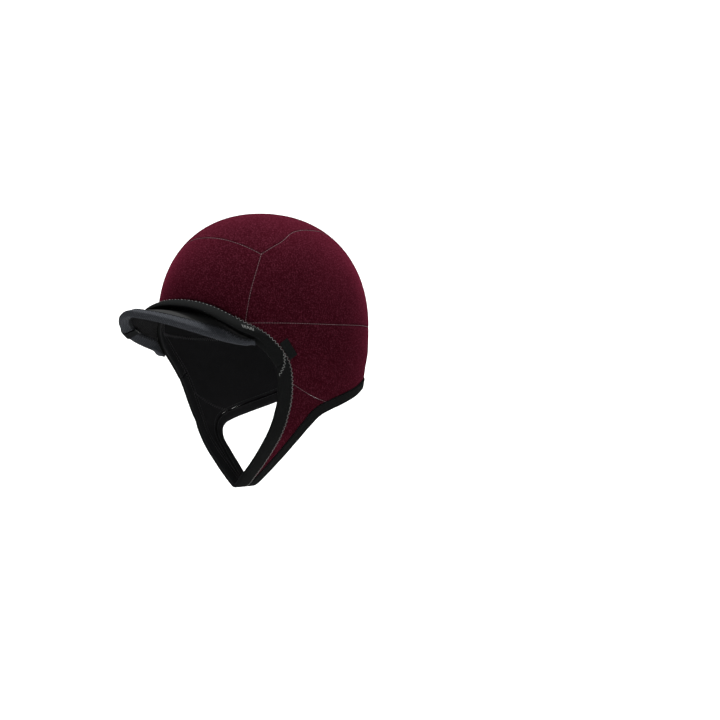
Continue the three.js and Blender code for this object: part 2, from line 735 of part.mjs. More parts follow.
const panel = (grid) => panelGeometry(drawnIn(grid));
add("front_panel", panel(frontGrid), MAROON_CLOTH);
add("crown_panel", panel(crownGrid), MAROON_CLOTH);
add("back_panel", panel(backGrid), MAROON_CLOTH);
add("upper_side_panel_left", panel(upperSideGrid), MAROON_CLOTH);
add("upper_side_panel_right", panel(mirroredGrid(upperSideGrid)), MAROON_CLOTH);
add("lower_side_panel_left", panel(lowerSideGrid), MAROON_CLOTH);
add("lower_side_panel_right", panel(mirroredGrid(lowerSideGrid)), MAROON_CLOTH);
add("chin_strap_panel", panel(strapGrid), MAROON_CLOTH);

const browRings = bandRings(trimmedEnds(browEdge), trimmedEnds(browLine), BROW_SECTION, browRoll);
add("face_band_brow", ringSolid(browRings, false), BLACK_CLOTH);
const cheekRings = bandRings(trimmedEnds(cheekEdge), trimmedEnds(cheekLine));
add("face_band_cheeks", ringSolid(cheekRings, false), BLACK_CLOTH);
add("neck_band", ringSolid(bandRings(neckEdge, neckLine), true), BLACK_CLOTH);

const ribs = peakRibs();
add("peak_panel", peakPanelGeometry(ribs), BLACK_CLOTH);
const tapeRings = foldedStrip(ribs, TAPE_CLEARANCE, TAPE_THICKNESS, TAPE_WIDTH);
add("peak_edge_tape", ringSolid(tapeRings, false), SLATE_TAPE);
const tagClearance = TAPE_CLEARANCE + TAPE_THICKNESS + SEAM_GAP;
const tagRings = foldedStrip(tagRibs(ribs), tagClearance, TAG_THICKNESS, TAPE_WIDTH + TAG_OVERLAP);
add("peak_tag", ringSolid(tagRings, false), BLACK_CLOTH);
add("temple_tab", panelGeometry(tabGrid(), SEAM_GAP + TAB_THICKNESS, SEAM_GAP), BLACK_CLOTH);

export default cap;
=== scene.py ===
"""Looks of a neoprene surf cap with a short peak and a one-piece chin strap.

Metres, +Z up, the face looks along -Y and the wearer's left is +X. The cloth lies on one head
form, and every seam, panel, band and stitch row is a line or a grid over that form.
"""

import logging
import math
from collections.abc import Callable, Sequence
from dataclasses import dataclass, field
from enum import Enum

import bpy
import numpy as np
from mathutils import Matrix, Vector


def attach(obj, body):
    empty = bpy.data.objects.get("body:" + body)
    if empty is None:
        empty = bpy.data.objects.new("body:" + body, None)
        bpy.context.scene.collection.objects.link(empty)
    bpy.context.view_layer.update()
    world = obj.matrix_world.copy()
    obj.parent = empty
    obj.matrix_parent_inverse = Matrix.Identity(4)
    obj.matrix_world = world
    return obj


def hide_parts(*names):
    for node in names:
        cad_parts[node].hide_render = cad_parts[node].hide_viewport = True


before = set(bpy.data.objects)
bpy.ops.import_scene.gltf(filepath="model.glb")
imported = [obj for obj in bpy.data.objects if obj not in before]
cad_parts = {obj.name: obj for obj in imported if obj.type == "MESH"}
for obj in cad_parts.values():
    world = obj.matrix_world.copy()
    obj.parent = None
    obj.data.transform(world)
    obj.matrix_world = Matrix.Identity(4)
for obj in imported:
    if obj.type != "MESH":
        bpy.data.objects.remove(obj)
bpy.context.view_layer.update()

MM = 0.001
TINY = 1e-9
SHORTEST = 1e-12
LOG = logging.getLogger("surf_cap")

# Cloth and bands
CLOTH_WALL = 3 * MM
SEAM_GAP = 0.3 * MM
BAND_PROUD = 1 * MM
BROW_ROLL = 16 * MM
FACE_BAND_WIDTH = 12 * MM
NECK_BAND_WIDTH = 9 * MM

# Steps of the seams between their corners
BROW_STEPS, DOWN_STEPS, SIDE_STEPS, DIAGONAL_STEPS = 14, 8, 16, 5
TEMPLE_STEPS, CHEEK_STEPS, STRAP_STEPS = 5, 3, 15
TEMPLE = BROW_STEPS // 2
JOINT = TEMPLE + TEMPLE_STEPS
CHEEK = JOINT + CHEEK_STEPS
REAR = BROW_STEPS // 2
JAW = REAR + SIDE_STEPS - DIAGONAL_STEPS

# Form below its widest level: drop as a share of the way to the chin, then shares of the
# head's half width, forehead reach and nape reach.
SKIRT_FORM = np.array([
    (0.0, 1.0, 1.0, 1.0), (0.14, 0.99, 0.975, 0.995), (0.25, 0.957, 0.92, 0.97),
    (0.36, 0.908, 0.87, 0.95), (0.43, 0.872, 0.84, 0.93), (0.52, 0.829, 0.75, 0.9),
    (0.6, 0.787, 0.66, 0.89), (0.67, 0.705, 0.66, 0.87), (0.767, 0.516, 0.7, 0.72),
    (0.866, 0.312, 0.69, 0.48), (0.937, 0.165, 0.57, 0.2), (0.98, 0.07, 0.46, -0.08),
    (1.0, 0.0, 0.33, -0.33),
])

# Rows of points on the form: across as a share of the half width, along of the forehead reach
# in front and of the nape reach behind, down of the chin drop.
FACE_EDGE = [
    (0.0, -0.99, 0.4), (0.34, -0.93, 0.416), (0.53, -0.84, 0.45), (0.66, -0.745, 0.486),
    (0.76, -0.62, 0.516), (0.81, -0.51, 0.558), (0.825, -0.435, 0.598), (0.79, -0.383, 0.656),
    (0.713, -0.35, 0.722), (0.585, -0.34, 0.807), (0.455, -0.34, 0.866), (0.302, -0.34, 0.923),
    (0.146, -0.34, 0.965), (0.0, -0.335, 0.99),
]
FACE_CORNERS = [(3, TEMPLE), (6, TEMPLE_STEPS), (7, CHEEK_STEPS), (13, STRAP_STEPS)]
NECK_EDGE = [
    (0.0, 0.96, 0.63), (0.4, 0.9, 0.636), (0.61, 0.77, 0.652), (0.73, 0.566, 0.68),
    (0.8, 0.364, 0.708), (0.825, 0.162, 0.741), (0.81, 0.061, 0.77), (0.7, -0.01, 0.811),
    (0.598, -0.03, 0.84), (0.463, -0.05, 0.876), (0.293, -0.075, 0.915), (0.134, -0.1, 0.945),
    (0.0, -0.11, 0.957),
]
NECK_CORNERS = [(1, REAR), (5, JAW - REAR), (12, STRAP_STEPS)]
JUNCTION = (0.646, -0.48, 0.21)
TRANSVERSE = [(0.0, -0.7, 0.136), (0.366, -0.65, 0.15)]
FRONT_DOWN = [(0.7, -0.57, 0.262), (0.71, -0.64, 0.335)]
TOP_SIDE = [(0.707, -0.3, 0.145), (0.66, -0.15, 0.105), (0.636, -0.017, 0.088),
            (0.61, 0.117, 0.081), (0.55, 0.28, 0.08)]
CROWN_TURN = (0.47, 0.6, 0.115)
BACK_SIDE = [(0.43, 0.85, 0.22)]
BACK_POINT = (0.427, 0.96, 0.4)
HORIZONTAL = [(0.92, -0.39, 0.438), (0.995, 0.1, 0.43), (0.88, 0.5, 0.417)]
BACK_MIDDLE = (0.0, 1.0, 0.395)
DIAGONAL = [(0.84, -0.05, 0.683)]

# Peak's outer edge: across of the half width, forward of the peak's length past the forehead,
# down of the chin drop.
PEAK_EDGE = [
    (0.0, 1.056, 0.414), (0.14, 1.006, 0.422), (0.265, 0.879, 0.432), (0.383, 0.692, 0.446),
    (0.483, 0.458, 0.462), (0.553, 0.186, 0.478), (0.592, -0.1, 0.492), (0.615, -0.385, 0.505),
    (0.7, -0.585, 0.514), (0.785, -0.765, 0.517),
]

# Outer line of a band's section: share of its width from the fold, height as a share of its
# proud height, share of the brow's roll (none on a plain band).
BAND_TOP = np.array([(share, level, 0.0) for share, level in (
    (0.0, -1.0), (0.012, -0.1), (0.045, 0.5), (0.1, 0.85), (0.18, 1.0), (0.34, 1.0), (0.5, 1.0),
    (0.66, 1.0), (0.8, 1.0), (0.9, 0.95), (0.96, 0.8), (1.0, 0.45),
)])
BROW_TOP = np.array([
    (0.0, -1.0, 0.0), (0.012, -0.1, 0.0), (0.035, 0.6, 0.0), (0.08, 1.0, 0.0), (0.2, 1.0, 0.0),
    (0.33, 1.0, 0.0), (0.36, 1.0, 0.05), (0.372, 1.0, 0.22), (0.378, 1.0, 0.45), (0.384, 1.0, 0.7),
    (0.394, 1.0, 0.88), (0.41, 1.0, 0.97), (0.43, 1.0, 1.0), (0.48, 1.0, 0.993), (0.54, 1.0, 0.97),
    (0.61, 1.0, 0.932), (0.68, 1.0, 0.876), (0.75, 1.0, 0.797), (0.82, 1.0, 0.695), (0.88, 1.0, 0.575),
    (0.93, 1.0, 0.43), (0.97, 0.85, 0.26), (1.0, 0.45, 0.08),
])

Array = np.ndarray
Profile = Callable[[Array], Array]
Point = tuple[float, float, float]
Object, Material = bpy.types.Object, bpy.types.Material
NodeTree, Socket = bpy.types.NodeTree, bpy.types.NodeSocket


class Side(Enum):
    """A side of the cap, as the wearer's."""

    LEFT = 1.0
    RIGHT = -1.0


class Face(Enum):
    """Which face of the cloth a stitch row lies on."""

    OUTSIDE = 1.0
    INSIDE = -1.0


def unit(v: Array) -> Array:
    """Vectors of length one."""
    return v / np.maximum(np.linalg.norm(v, axis=-1, keepdims=True), SHORTEST)


def mirrored(line: Array) -> Array:
    """The line on the other side of the cap."""
    return line * np.array([-1.0, 1.0, 1.0])


def across_middle(half: Array) -> Array:
    """A line from the mirrored side to the left one, through its middle point."""
    return np.concatenate([mirrored(half)[:0:-1], half])


def smoothstep(x: Array, low: float, high: float) -> Array:
    """An eased step from 0 at low to 1 at high."""
    t = np.clip((x - low) / (high - low), 0.0, 1.0)
    return t * t * (3 - 2 * t)


def along_line(place: Array, at: Array, line: Array) -> Array:
    """Points of a line whose own points stand at rising places.

    Args:
        place: the places to read.
        at: the place of each of the line's points.
        line: the line's points.

    Returns:
        One point for each place.
    """
    return np.stack([np.interp(place, at, line[:, k]) for k in range(3)], axis=-1)


def catmull(points: Array, per_span: int, closed: bool = False) -> Array:
    """A centripetal curve through points.

    Args:
        points: the points that the curve passes.
        per_span: steps between two of them.
        closed: whether the last joins the first.

    Returns:
        The curve's points, point k of the input at index k * per_span.
    """
    n = len(points)
    spans = n if closed else n - 1
    if closed:
        padded = np.concatenate([points[-1:], points, points[:2]])
    else:
        padded = np.concatenate([2 * points[:1] - points[1:2], points, 2 * points[-1:] - points[-2:-1]])
    a, b, c, d = (padded[k:k + spans] for k in range(4))
    gap = [np.maximum(np.linalg.norm(q - p, axis=1, keepdims=True), TINY) ** 0.5
           for p, q in ((a, b), (b, c), (c, d))]
    into = ((b - a) / gap[0] - (c - a) / (gap[0] + gap[1]) + (c - b) / gap[1]) * gap[1]
    out = ((c - b) / gap[1] - (d - b) / (gap[1] + gap[2]) + (d - c) / gap[2]) * gap[1]
    t = (np.arange(per_span) / per_span)[None, :, None]
    b, c, into, out = (v[:, None, :] for v in (b, c, into, out))
    curve = (b + into * t + (3 * (c - b) - 2 * into - out) * t**2
             + (2 * (b - c) + into + out) * t**3).reshape(-1, 3)
    return curve if closed else np.concatenate([curve, points[-1:]])


def evenly(line: Array, steps: int) -> Array:
    """The line again, with steps + 1 points at equal lengths."""
    length = np.concatenate([[0], np.cumsum(np.linalg.norm(np.diff(line, axis=0), axis=1))])
    return along_line(np.linspace(0, length[-1], steps + 1), length, line)


@dataclass(frozen=True)
class HeadForm:
    """The outer face of the worn cap, as one smooth form."""

    half_width: float = 82 * MM
    forehead: float = 100 * MM
    nape: float = 99 * MM
    crown_depth: float = 98 * MM
    chin_drop: float = 241 * MM
    fullness: float = 2.2
    halvings: int = 34

    NORMAL_STEP = 1 * MM
    SIDEWAYS = 0.8

    @property
    def centre(self) -> Array:
        """The point that rays over the form start from."""
        return np.array([0.0, 0.0, CLOTH_WALL - self.crown_depth])

    @staticmethod
    def eased(share: Array, column: Array) -> Array:
        """One column of the skirt table, eased by a monotone cubic.

        Args:
            share: shares of the way down the skirt.
            column: the column's values at the table's drops.

        Returns:
            The column's value at each share.
        """
        at = SKIRT_FORM[:, 0]
        slope = np.diff(column) / np.diff(at)
        rises = slope[:-1] * slope[1:] > 0
        both = np.where(rises, slope[:-1] + slope[1:], 1)
        middle = np.where(rises, 2 * slope[:-1] * slope[1:] / both, 0)
        tangent = np.concatenate([[0], middle, slope[-1:]])
        i = np.clip(np.searchsorted(at, share, side="right") - 1, 0, len(at) - 2)
        span = at[i + 1] - at[i]
        t = (share - at[i]) / span
        bend = t * (1 - t) ** 2 * tangent[i] + t * t * (t - 1) * tangent[i + 1]
        return column[i] + (column[i + 1] - column[i]) * t * t * (3 - 2 * t) + bend * span

    def level(self, p: Array) -> Array:
        """Below 1 inside the form, 1 on its face."""
        drop = CLOTH_WALL - p[..., 2]
        rise = np.clip(1 - drop / self.crown_depth, 0, 1)
        dome = np.maximum(TINY, 1 - rise**self.fullness) ** (1 / self.fullness)
        share = np.clip((drop - self.crown_depth) / (self.chin_drop - self.crown_depth), 0, 1)
        above = drop <= self.crown_depth
        wide, front, back = (
            np.where(above, dome, self.eased(share, column))
            for column in (SKIRT_FORM[:, 1] ** 2, SKIRT_FORM[:, 2], SKIRT_FORM[:, 3])
        )
        wide = self.half_width * np.where(above, wide, np.sqrt(np.maximum(wide, 0)))
        front, back = front * self.forehead, back * self.nape
        half = np.maximum(TINY, (back + front) / 2)
        along = (p[..., 1] - (back - front) / 2) / half
        value = (p[..., 0] / np.maximum(TINY, wide)) ** 2 + along**2
        return np.where((drop < 0) | (drop > self.chin_drop), 2 + np.abs(drop), value)

    def settle(self, points: Array) -> Array:
        """The points moved along rays from the centre onto the form."""
        ray = unit(points - self.centre)
        near = np.zeros(points.shape[:-1])
        far = np.full(points.shape[:-1], self.chin_drop)
        for _ in range(self.halvings):
            reach = (near + far) / 2
            inside = self.level(self.centre + ray * reach[..., None]) < 1
            near, far = np.where(inside, reach, near), np.where(inside, far, reach)
        return self.centre + ray * near[..., None]

    def normal(self, points: Array) -> Array:
        """Outward normals of the form at points on it."""
        ray = unit(points - self.centre)
        steep = np.abs(ray[..., :1]) < self.SIDEWAYS
        u = unit(np.cross(ray, np.where(steep, np.array([1.0, 0, 0]), np.array([0, 1.0, 0]))))
        across, along = (self.settle(points + side * self.NORMAL_STEP)
                         - self.settle(points - side * self.NORMAL_STEP) for side in (u, np.cross(ray, u)))
        return unit(np.cross(across, along))

    def place(self, rows: Sequence[Point]) -> Array:
        """Table rows as points on the form."""
        across, along, down = np.array(rows, float).reshape(-1, 3).T
        reach = np.where(along < 0, self.forehead, self.nape)
        return self.settle(np.stack(
            [across * self.half_width, along * reach, CLOTH_WALL - down * self.chin_drop], axis=1))


class Path:
    """A smooth line over the form, read by its place from 0 to 1 between its own points."""

    PER_SPAN = 16

    def __init__(self, form: HeadForm, points: Array) -> None:
        """Lays a fine line over the form through the points."""
        self.form = form
        self.points = points
        self.line = form.settle(catmull(points, self.PER_SPAN))

    def at(self, place: Array) -> Array:
        """Points at the given places."""
        spots = np.asarray(place) * (len(self.line) - 1)
        return along_line(spots, np.arange(len(self.line)), self.line)

    def length(self) -> float:
        """Length of the line."""
        return float(np.linalg.norm(np.diff(self.line, axis=0), axis=1).sum())

    def mirror(self) -> "Path":
        """The same line on the other side."""
        return Path(self.form, mirrored(self.points))

    def whole(self) -> "Path":
        """The line and its mirror image, joined at its first point."""
        return Path(self.form, across_middle(self.points))


@dataclass
class Seams:
    """Every seam and edge of the left half, laid once over the form."""

    form: HeadForm
    lines: dict[str, Path] = field(default_factory=dict)

    LOOP_FINENESS = 60

    def __post_init__(self) -> None:
        """Lays the two openings and then the seams between them."""
        form = self.form
        self.face_edge = self.half_loop(FACE_EDGE, FACE_CORNERS)
        self.neck_edge = self.half_loop(NECK_EDGE, NECK_CORNERS)
        self.face_line = self.inset(self.face_edge, FACE_BAND_WIDTH)
        self.neck_line = self.inset(self.neck_edge, -NECK_BAND_WIDTH)
        junction, turn, back = (form.place([row])[0] for row in (JUNCTION, CROWN_TURN, BACK_POINT))
        temple, cheek = self.face_line[TEMPLE], self.face_line[CHEEK]
        rear, jaw = self.neck_line[REAR], self.neck_line[JAW]
        self.lines["transverse"] = self.half_over([*TRANSVERSE, JUNCTION])
        self.lines["front_down"] = self.over(junction, FRONT_DOWN, temple, DOWN_STEPS)
        self.lines["top_side"] = self.over(junction, TOP_SIDE, turn, SIDE_STEPS)
        self.lines["back_side"] = self.over(turn, BACK_SIDE, back, DOWN_STEPS)
        self.lines["horizontal"] = self.over(temple, HORIZONTAL, back, SIDE_STEPS)
        self.lines["back"] = self.half_over([BACK_MIDDLE, BACK_POINT])
        self.lines["rear_down"] = self.over(back, [], rear, TEMPLE_STEPS + CHEEK_STEPS)
        self.lines["diagonal"] = self.over(cheek, DIAGONAL, jaw, DIAGONAL_STEPS)

    def half_loop(self, rows: Sequence[Point], corners: Sequence[tuple[int, int]]) -> Array:
        """Half of a closed edge.

        Args:
            rows: the edge's points from its middle top to its middle bottom.
            corners: each corner's row and the steps that lead to it.

        Returns:
            Points on the form from the first row to the last.
        """
        own = self.form.place(rows)
        others = mirrored(own[1:-1])[::-1]
        fine = self.LOOP_FINENESS
        curve = catmull(np.concatenate([others, own]), fine, closed=True)
        start, points, at = len(others), [own[:1]], 0
        for row, steps in corners:
            points.append(evenly(curve[(start + at) * fine:(start + row) * fine + 1], steps)[1:])
            at = row
        return self.form.settle(np.concatenate(points))

    def inset(self, edge: Array, width: float) -> Array:
        """The points a given width inside half a loop's edge, square to it along the form."""
        before = np.concatenate([mirrored(edge[1:2]), edge[:-1]])
        after = np.concatenate([edge[1:], mirrored(edge[-2:-1])])
        side = unit(np.cross(self.form.normal(edge), unit(after - before)))
        return self.form.settle(edge + side * width)

    def over(self, start: Array, rows: Sequence[Point], end: Array, steps: int) -> Path:
        """A seam between two corners through table rows."""
        middle = self.form.place(rows) if rows else np.zeros((0, 3))
        points = np.concatenate([start[None], middle, end[None]])
        line = self.form.settle(evenly(catmull(points, self.LOOP_FINENESS), steps))
        line[0], line[-1] = start, end
        return Path(self.form, line)

    def half_over(self, rows: Sequence[Point]) -> Path:
        """The left half of a symmetric seam, from its middle point."""
        whole = catmull(across_middle(self.form.place(rows)), self.LOOP_FINENESS)
        return Path(self.form, self.form.settle(evenly(whole, BROW_STEPS))[BROW_STEPS // 2:])

    def joined(self, *names: str) -> Path:
        """Several seams end to end as one line."""
        parts = [self.lines[name].points for name in names]
        return Path(self.form, np.concatenate([parts[0], *(part[1:] for part in parts[1:])]))


def placed(name: str, data: bpy.types.ID) -> Object:
    """A new object in the scene that holds the given data."""
    holder = bpy.data.objects.new(name, data)
    bpy.context.scene.collection.objects.link(holder)
    return holder


def mesh_piece(name: str, points: Array, faces: Sequence[Sequence[int]], finishes: Sequence[Material],
               finish_of: Sequence[int] | None = None) -> Object:
    """A smooth-shaded mesh object at the origin.

    Args:
        name: the piece's name.
        points: its points in metres.
        faces: lists of point numbers.
        finishes: its materials.
        finish_of: each face's material number, or None for the first.

    Returns:
        The new object, its faces turned outwards.
    """
    mesh = bpy.data.meshes.new(name)
    mesh.from_pydata(points.reshape(-1, 3).tolist(), [], [list(map(int, face)) for face in faces])
    for finish in finishes:
        mesh.materials.append(finish)
    if finish_of is not None:
        mesh.polygons.foreach_set("material_index", np.asarray(finish_of, np.int32))
    mesh.polygons.foreach_set("use_smooth", np.ones(len(mesh.polygons), bool))
    mesh.calc_loop_triangles()
    corners = np.array([t.vertices for t in mesh.loop_triangles], int)
    a, b, c = (points.reshape(-1, 3)[corners[:, k]] for k in range(3))
    if float((a * np.cross(b, c)).sum()) < 0:
        mesh.flip_normals()
    mesh.update()
    return placed(name, mesh)


def grid_faces(grid: Array) -> tuple[Array, Array]:
    """Faces of a grid of points.

    Args:
        grid: the points by row and column.

    Returns:
        The faces, four point numbers each, and the numbers of the points once round the rim.
    """
    rows, columns = grid.shape[:2]
    number = np.arange(rows * columns).reshape(rows, columns)
    quads = np.stack([number[:-1, :-1], number[:-1, 1:], number[1:, 1:], number[1:, :-1]], -1)
    rim = np.concatenate([number[0, :-1], number[:-1, -1], number[-1, :0:-1], number[:0:-1, 0]])
    return quads.reshape(-1, 4), rim


def slab_piece(name: str, outer: Array, inner: Array, finishes: Sequence[Material]) -> Object:
    """A piece of cloth between two grids of points.

    Args:
        name: the piece's name.
        outer: its outer face.
        inner: its inner face, point for point.
        finishes: one material, or those of the outer face, the inner face and the cut rim.

    Returns:
        The new object.
    """
    quads, rim = grid_faces(outer)
    after, below = np.roll(rim, -1), outer.shape[0] * outer.shape[1]
    sides = np.stack([after, rim, rim + below, after + below], -1)
    faces = np.concatenate([quads, quads[:, ::-1] + below, sides])
    kind = np.repeat([0, 1, 2], [len(quads), len(quads), len(sides)]) if len(finishes) > 1 else None
    points = np.concatenate([outer.reshape(-1, 3), inner.reshape(-1, 3)])
    return mesh_piece(name, points, faces.tolist(), finishes, kind)


def ring_faces(count: int, around: int, closed: bool) -> list[list[int]]:
    """Faces of a tube of rings.

    Args:
        count: how many rings.
        around: points of a ring.
        closed: whether the last ring joins the first; else each end gets one face.

    Returns:
        Lists of point numbers.
    """
    faces = []
    for r in range(count if closed else count - 1):
        here, there = r * around, (r + 1) % count * around
        for k in range(around):
            n = (k + 1) % around
            faces.append([here + k, there + k, there + n, here + n])
    if not closed:
        faces.append(list(range(around)))
        faces.append(list(range((count - 1) * around, count * around))[::-1])
    return faces


# Node trees


class Tree:
    """A node tree being built: nodes are added with their inputs in one call."""

    def __init__(self, tree: NodeTree) -> None:
        """Wraps an existing tree."""
        self.tree = tree

    def add(self, kind: str, values: dict | None = None, **settings: object) -> bpy.types.Node:
        """One node.

        Args:
            kind: the node's type.
            values: inputs by name or number, each a value or a socket to link.
            settings: properties of the node itself.

        Returns:
            The node.
        """
        node = self.tree.nodes.new(kind)
        for key, value in settings.items():
            setattr(node, key, value)
        for key, value in (values or {}).items():
            self.feed(node.inputs[key], value)
        return node

    def feed(self, socket: Socket, value: object) -> None:
        """Gives a socket its value, or a link if the value is another socket."""
        if isinstance(value, Socket):
            self.tree.links.new(value, socket)
        else:
            socket.default_value = value

    def out(self, kind: str, values: dict | None = None, **settings: object) -> Socket:
        """The first output of one node, which is made as add makes it."""
        return self.add(kind, values, **settings).outputs[0]

    def math(self, operation: str, a: object, b: object = 0.0, c: object = 0.0) -> Socket:
        """The result of one Math node."""
        return self.out("ShaderNodeMath", {0: a, 1: b, 2: c}, operation=operation)

    def xyz(self, x: object = 0.0, y: object = 0.0, z: object = 0.0) -> Socket:
        """A vector of three numbers."""
        return self.out("ShaderNodeCombineXYZ", {0: x, 1: y, 2: z})

    def noise(self, vector: object, scale: object, detail: float = 2.0, rough: float = 0.5) -> Socket:
        """The height of one Noise Texture."""
        return self.out("ShaderNodeTexNoise", {
            "Vector": vector, "Scale": scale, "Detail": detail, "Roughness": rough})

    def ramp(self, value: object, low: float, high: float) -> Socket:
        """A value spread from low..high to 0..1."""
        return self.out("ShaderNodeMapRange", {"Value": value, "From Min": low, "From Max": high})

    def blend(self, share: object, a: object, b: object) -> Socket:
        """A mix of two colours."""
        return self.add("ShaderNodeMix", {0: share, 6: a, 7: b}, data_type="RGBA").outputs[2]


class Group(Tree):
    """A shared node group with named sockets."""

    def __init__(self, name: str, kind: str, inputs: Sequence[tuple[str, str, object]],
                 outputs: Sequence[tuple[str, str]]) -> None:
        """Makes the group.

        Args:
            name: the group's name.
            kind: ShaderNodeTree or GeometryNodeTree.
            inputs: name, socket type and default of each input.
            outputs: name and socket type of each output.
        """
        super().__init__(bpy.data.node_groups.new(name, kind))
        for label, socket, default in inputs:
            made = self.tree.interface.new_socket(
                name=label, in_out="INPUT", socket_type=f"NodeSocket{socket}")
            if default is not None:
                made.default_value = default
        for label, socket in outputs:
            self.tree.interface.new_socket(
                name=label, in_out="OUTPUT", socket_type=f"NodeSocket{socket}")
        self.entry = self.tree.nodes.new("NodeGroupInput").outputs
        self.exit = self.tree.nodes.new("NodeGroupOutput").inputs

    def finished(self, geometry: Socket) -> NodeTree:
        """Gives the geometry out as one mesh with the material of the Finish input."""
        solid = self.out("GeometryNodeRealizeInstances", {0: geometry})
        return self.give(Geometry=self.out("GeometryNodeSetMaterial", {
            0: solid, "Material": self.entry["Finish"]}))

    def give(self, **results: Socket) -> NodeTree:
        """Links results to the outputs of the same names."""
        for label, socket in results.items():
            self.feed(self.exit[label], socket)
        return self.tree


# Heathered face: noise heights that count as fleck, as bright ground and as dark grain
FLECK_RANGE, GROUND_RANGE, GRAIN_RANGE = (0.47, 0.66), (0.35, 0.65), (0.6, 0.36)
FLECK_HEIGHT, GRAIN_HEIGHT = 0.65, 0.35
GRAIN_SCALE, GRAIN_SHADE = 2.7, 0.45
LEAST_GROUND = 0.65
SMOOTHEST, GRAIN_ROUGHNESS = 0.84, 0.12

# Knit rows: how far and how finely the rows stray, and how much of them takes the thread's colour
STRAY_TURN, STRAY_SCALE, THREAD_SHARE = 2.2, 260.0, 0.7


def heathered_face() -> NodeTree:
    """The shared cloth face: broad shade, flecks of a second yarn and a fine brushed grain."""
    group = Group("heathered_face", "ShaderNodeTree", [
        ("Vector", "Vector", None), ("Ground", "Color", (0.1, 0.1, 0.1, 1)),
        ("Fleck", "Color", (0.2, 0.2, 0.2, 1)), ("Shade", "Color", (0.05, 0.05, 0.05, 1)),
        ("Fleck Share", "Float", 0.5), ("Fleck Scale", "Float", 900.0),
        ("Broad Scale", "Float", 22.0),
    ], [("Color", "Color"), ("Height", "Float"), ("Roughness", "Float")])
    get = group.entry
    fleck = group.noise(get["Vector"], get["Fleck Scale"], 2.0, 0.6)
    fine = group.noise(get["Vector"], group.math("MULTIPLY", get["Fleck Scale"], GRAIN_SCALE), 1.0)
    broad = group.noise(get["Vector"], get["Broad Scale"], 3.0, 0.55)
    share = group.math("MULTIPLY", group.ramp(fleck, *FLECK_RANGE), get["Fleck Share"])
    even = group.math("MULTIPLY_ADD", group.ramp(broad, *GROUND_RANGE), 1 - LEAST_GROUND, LEAST_GROUND)
    colour = group.blend(even, get["Shade"], get["Ground"])
    colour = group.blend(share, colour, get["Fleck"])
    dark = group.math("MULTIPLY", group.ramp(fine, *GRAIN_RANGE), GRAIN_SHADE)
    colour = group.blend(dark, colour, get["Shade"])
    grain = group.math("MULTIPLY", fine, GRAIN_HEIGHT)
    height = group.math("MULTIPLY_ADD", fleck, FLECK_HEIGHT, grain)
    rough = group.math("MULTIPLY_ADD", fine, GRAIN_ROUGHNESS, SMOOTHEST)
    return group.give(Color=colour, Height=height, Roughness=rough)


def knit_rows() -> NodeTree:
    """The shared fine knit: rows of small loops read from Object coordinates."""
    group = Group("knit_rows", "ShaderNodeTree", [
        ("Vector", "Vector", None), ("Pitch", "Float", 0.8 * MM),
        ("Color", "Color", (0.1, 0.1, 0.1, 1)), ("Gap Color", "Color", (0.02, 0.02, 0.02, 1)),
    ], [("Color", "Color"), ("Height", "Float")])
    get = group.entry
    turn = group.math("DIVIDE", 2 * math.pi, get["Pitch"])
    parts = group.add("ShaderNodeSeparateXYZ", {0: get["Vector"]}).outputs
    stray = group.math("MULTIPLY", group.noise(get["Vector"], STRAY_SCALE), STRAY_TURN)
    slant = group.math("ADD", parts[0], parts[1])
    across = group.math("SINE", group.math("MULTIPLY_ADD", slant, turn, stray))
    up = group.math("SINE", group.math("MULTIPLY_ADD", parts[2], turn, stray))
    height = group.math("MULTIPLY_ADD", group.math("MULTIPLY", across, up), 0.5, 0.5)
    colour = group.blend(group.math("MULTIPLY", height, THREAD_SHARE), get["Gap Color"], get["Color"])
    return group.give(Color=colour, Height=height)


@dataclass(frozen=True)
class ClothFinish:
    """A finish of heathered or plain cloth."""

    name: str
    ground: Point
    fleck: Point
    shade: Point
    fleck_share: float = 0.5
    fleck_scale: float = 900.0
    bump: float = 0.3
    bump_depth: float = 0.3 * MM
    sheen: float = 0.0
    sheen_tint: Point = (1.0, 1.0, 1.0)
    specular: float = 0.3
    knit_pitch: float = 0.0

    SHEEN_ROUGHNESS = 0.45
    KNIT_HEIGHT = 0.6

    def build(self, face: NodeTree, knit: NodeTree) -> Material:
        """The material.

        Args:
            face: the shared heathered face.
            knit: the shared fine knit.

        Returns:
            A new material.
        """
        material = bpy.data.materials.new(self.name)
        material.use_nodes = True
        tree = Tree(material.node_tree)
        place = tree.add("ShaderNodeTexCoord").outputs["Object"]
        shade = (*self.shade, 1.0)
        made = tree.add("ShaderNodeGroup", {
            "Vector": place, "Ground": (*self.ground, 1.0), "Fleck": (*self.fleck, 1.0), "Shade": shade,
            "Fleck Share": self.fleck_share, "Fleck Scale": self.fleck_scale}, node_tree=face).outputs
        colour, height = made["Color"], made["Height"]
        if self.knit_pitch:
            rows = tree.add("ShaderNodeGroup", {
                "Vector": place, "Pitch": self.knit_pitch, "Color": colour, "Gap Color": shade},
                node_tree=knit).outputs
            colour = rows["Color"]
            fine = tree.math("MULTIPLY", height, 1 - self.KNIT_HEIGHT)
            height = tree.math("MULTIPLY_ADD", rows["Height"], self.KNIT_HEIGHT, fine)
        bump = tree.out("ShaderNodeBump", {
            "Height": height, "Strength": self.bump, "Distance": self.bump_depth})
        looks = {
            "Base Color": colour, "Roughness": made["Roughness"], "Normal": bump,
            "Specular IOR Level": self.specular, "Sheen Weight": self.sheen,
            "Sheen Roughness": self.SHEEN_ROUGHNESS, "Sheen Tint": (*self.sheen_tint, 1.0)}
        for socket, value in looks.items():
            tree.feed(material.node_tree.nodes["Principled BSDF"].inputs[socket], value)
        return material


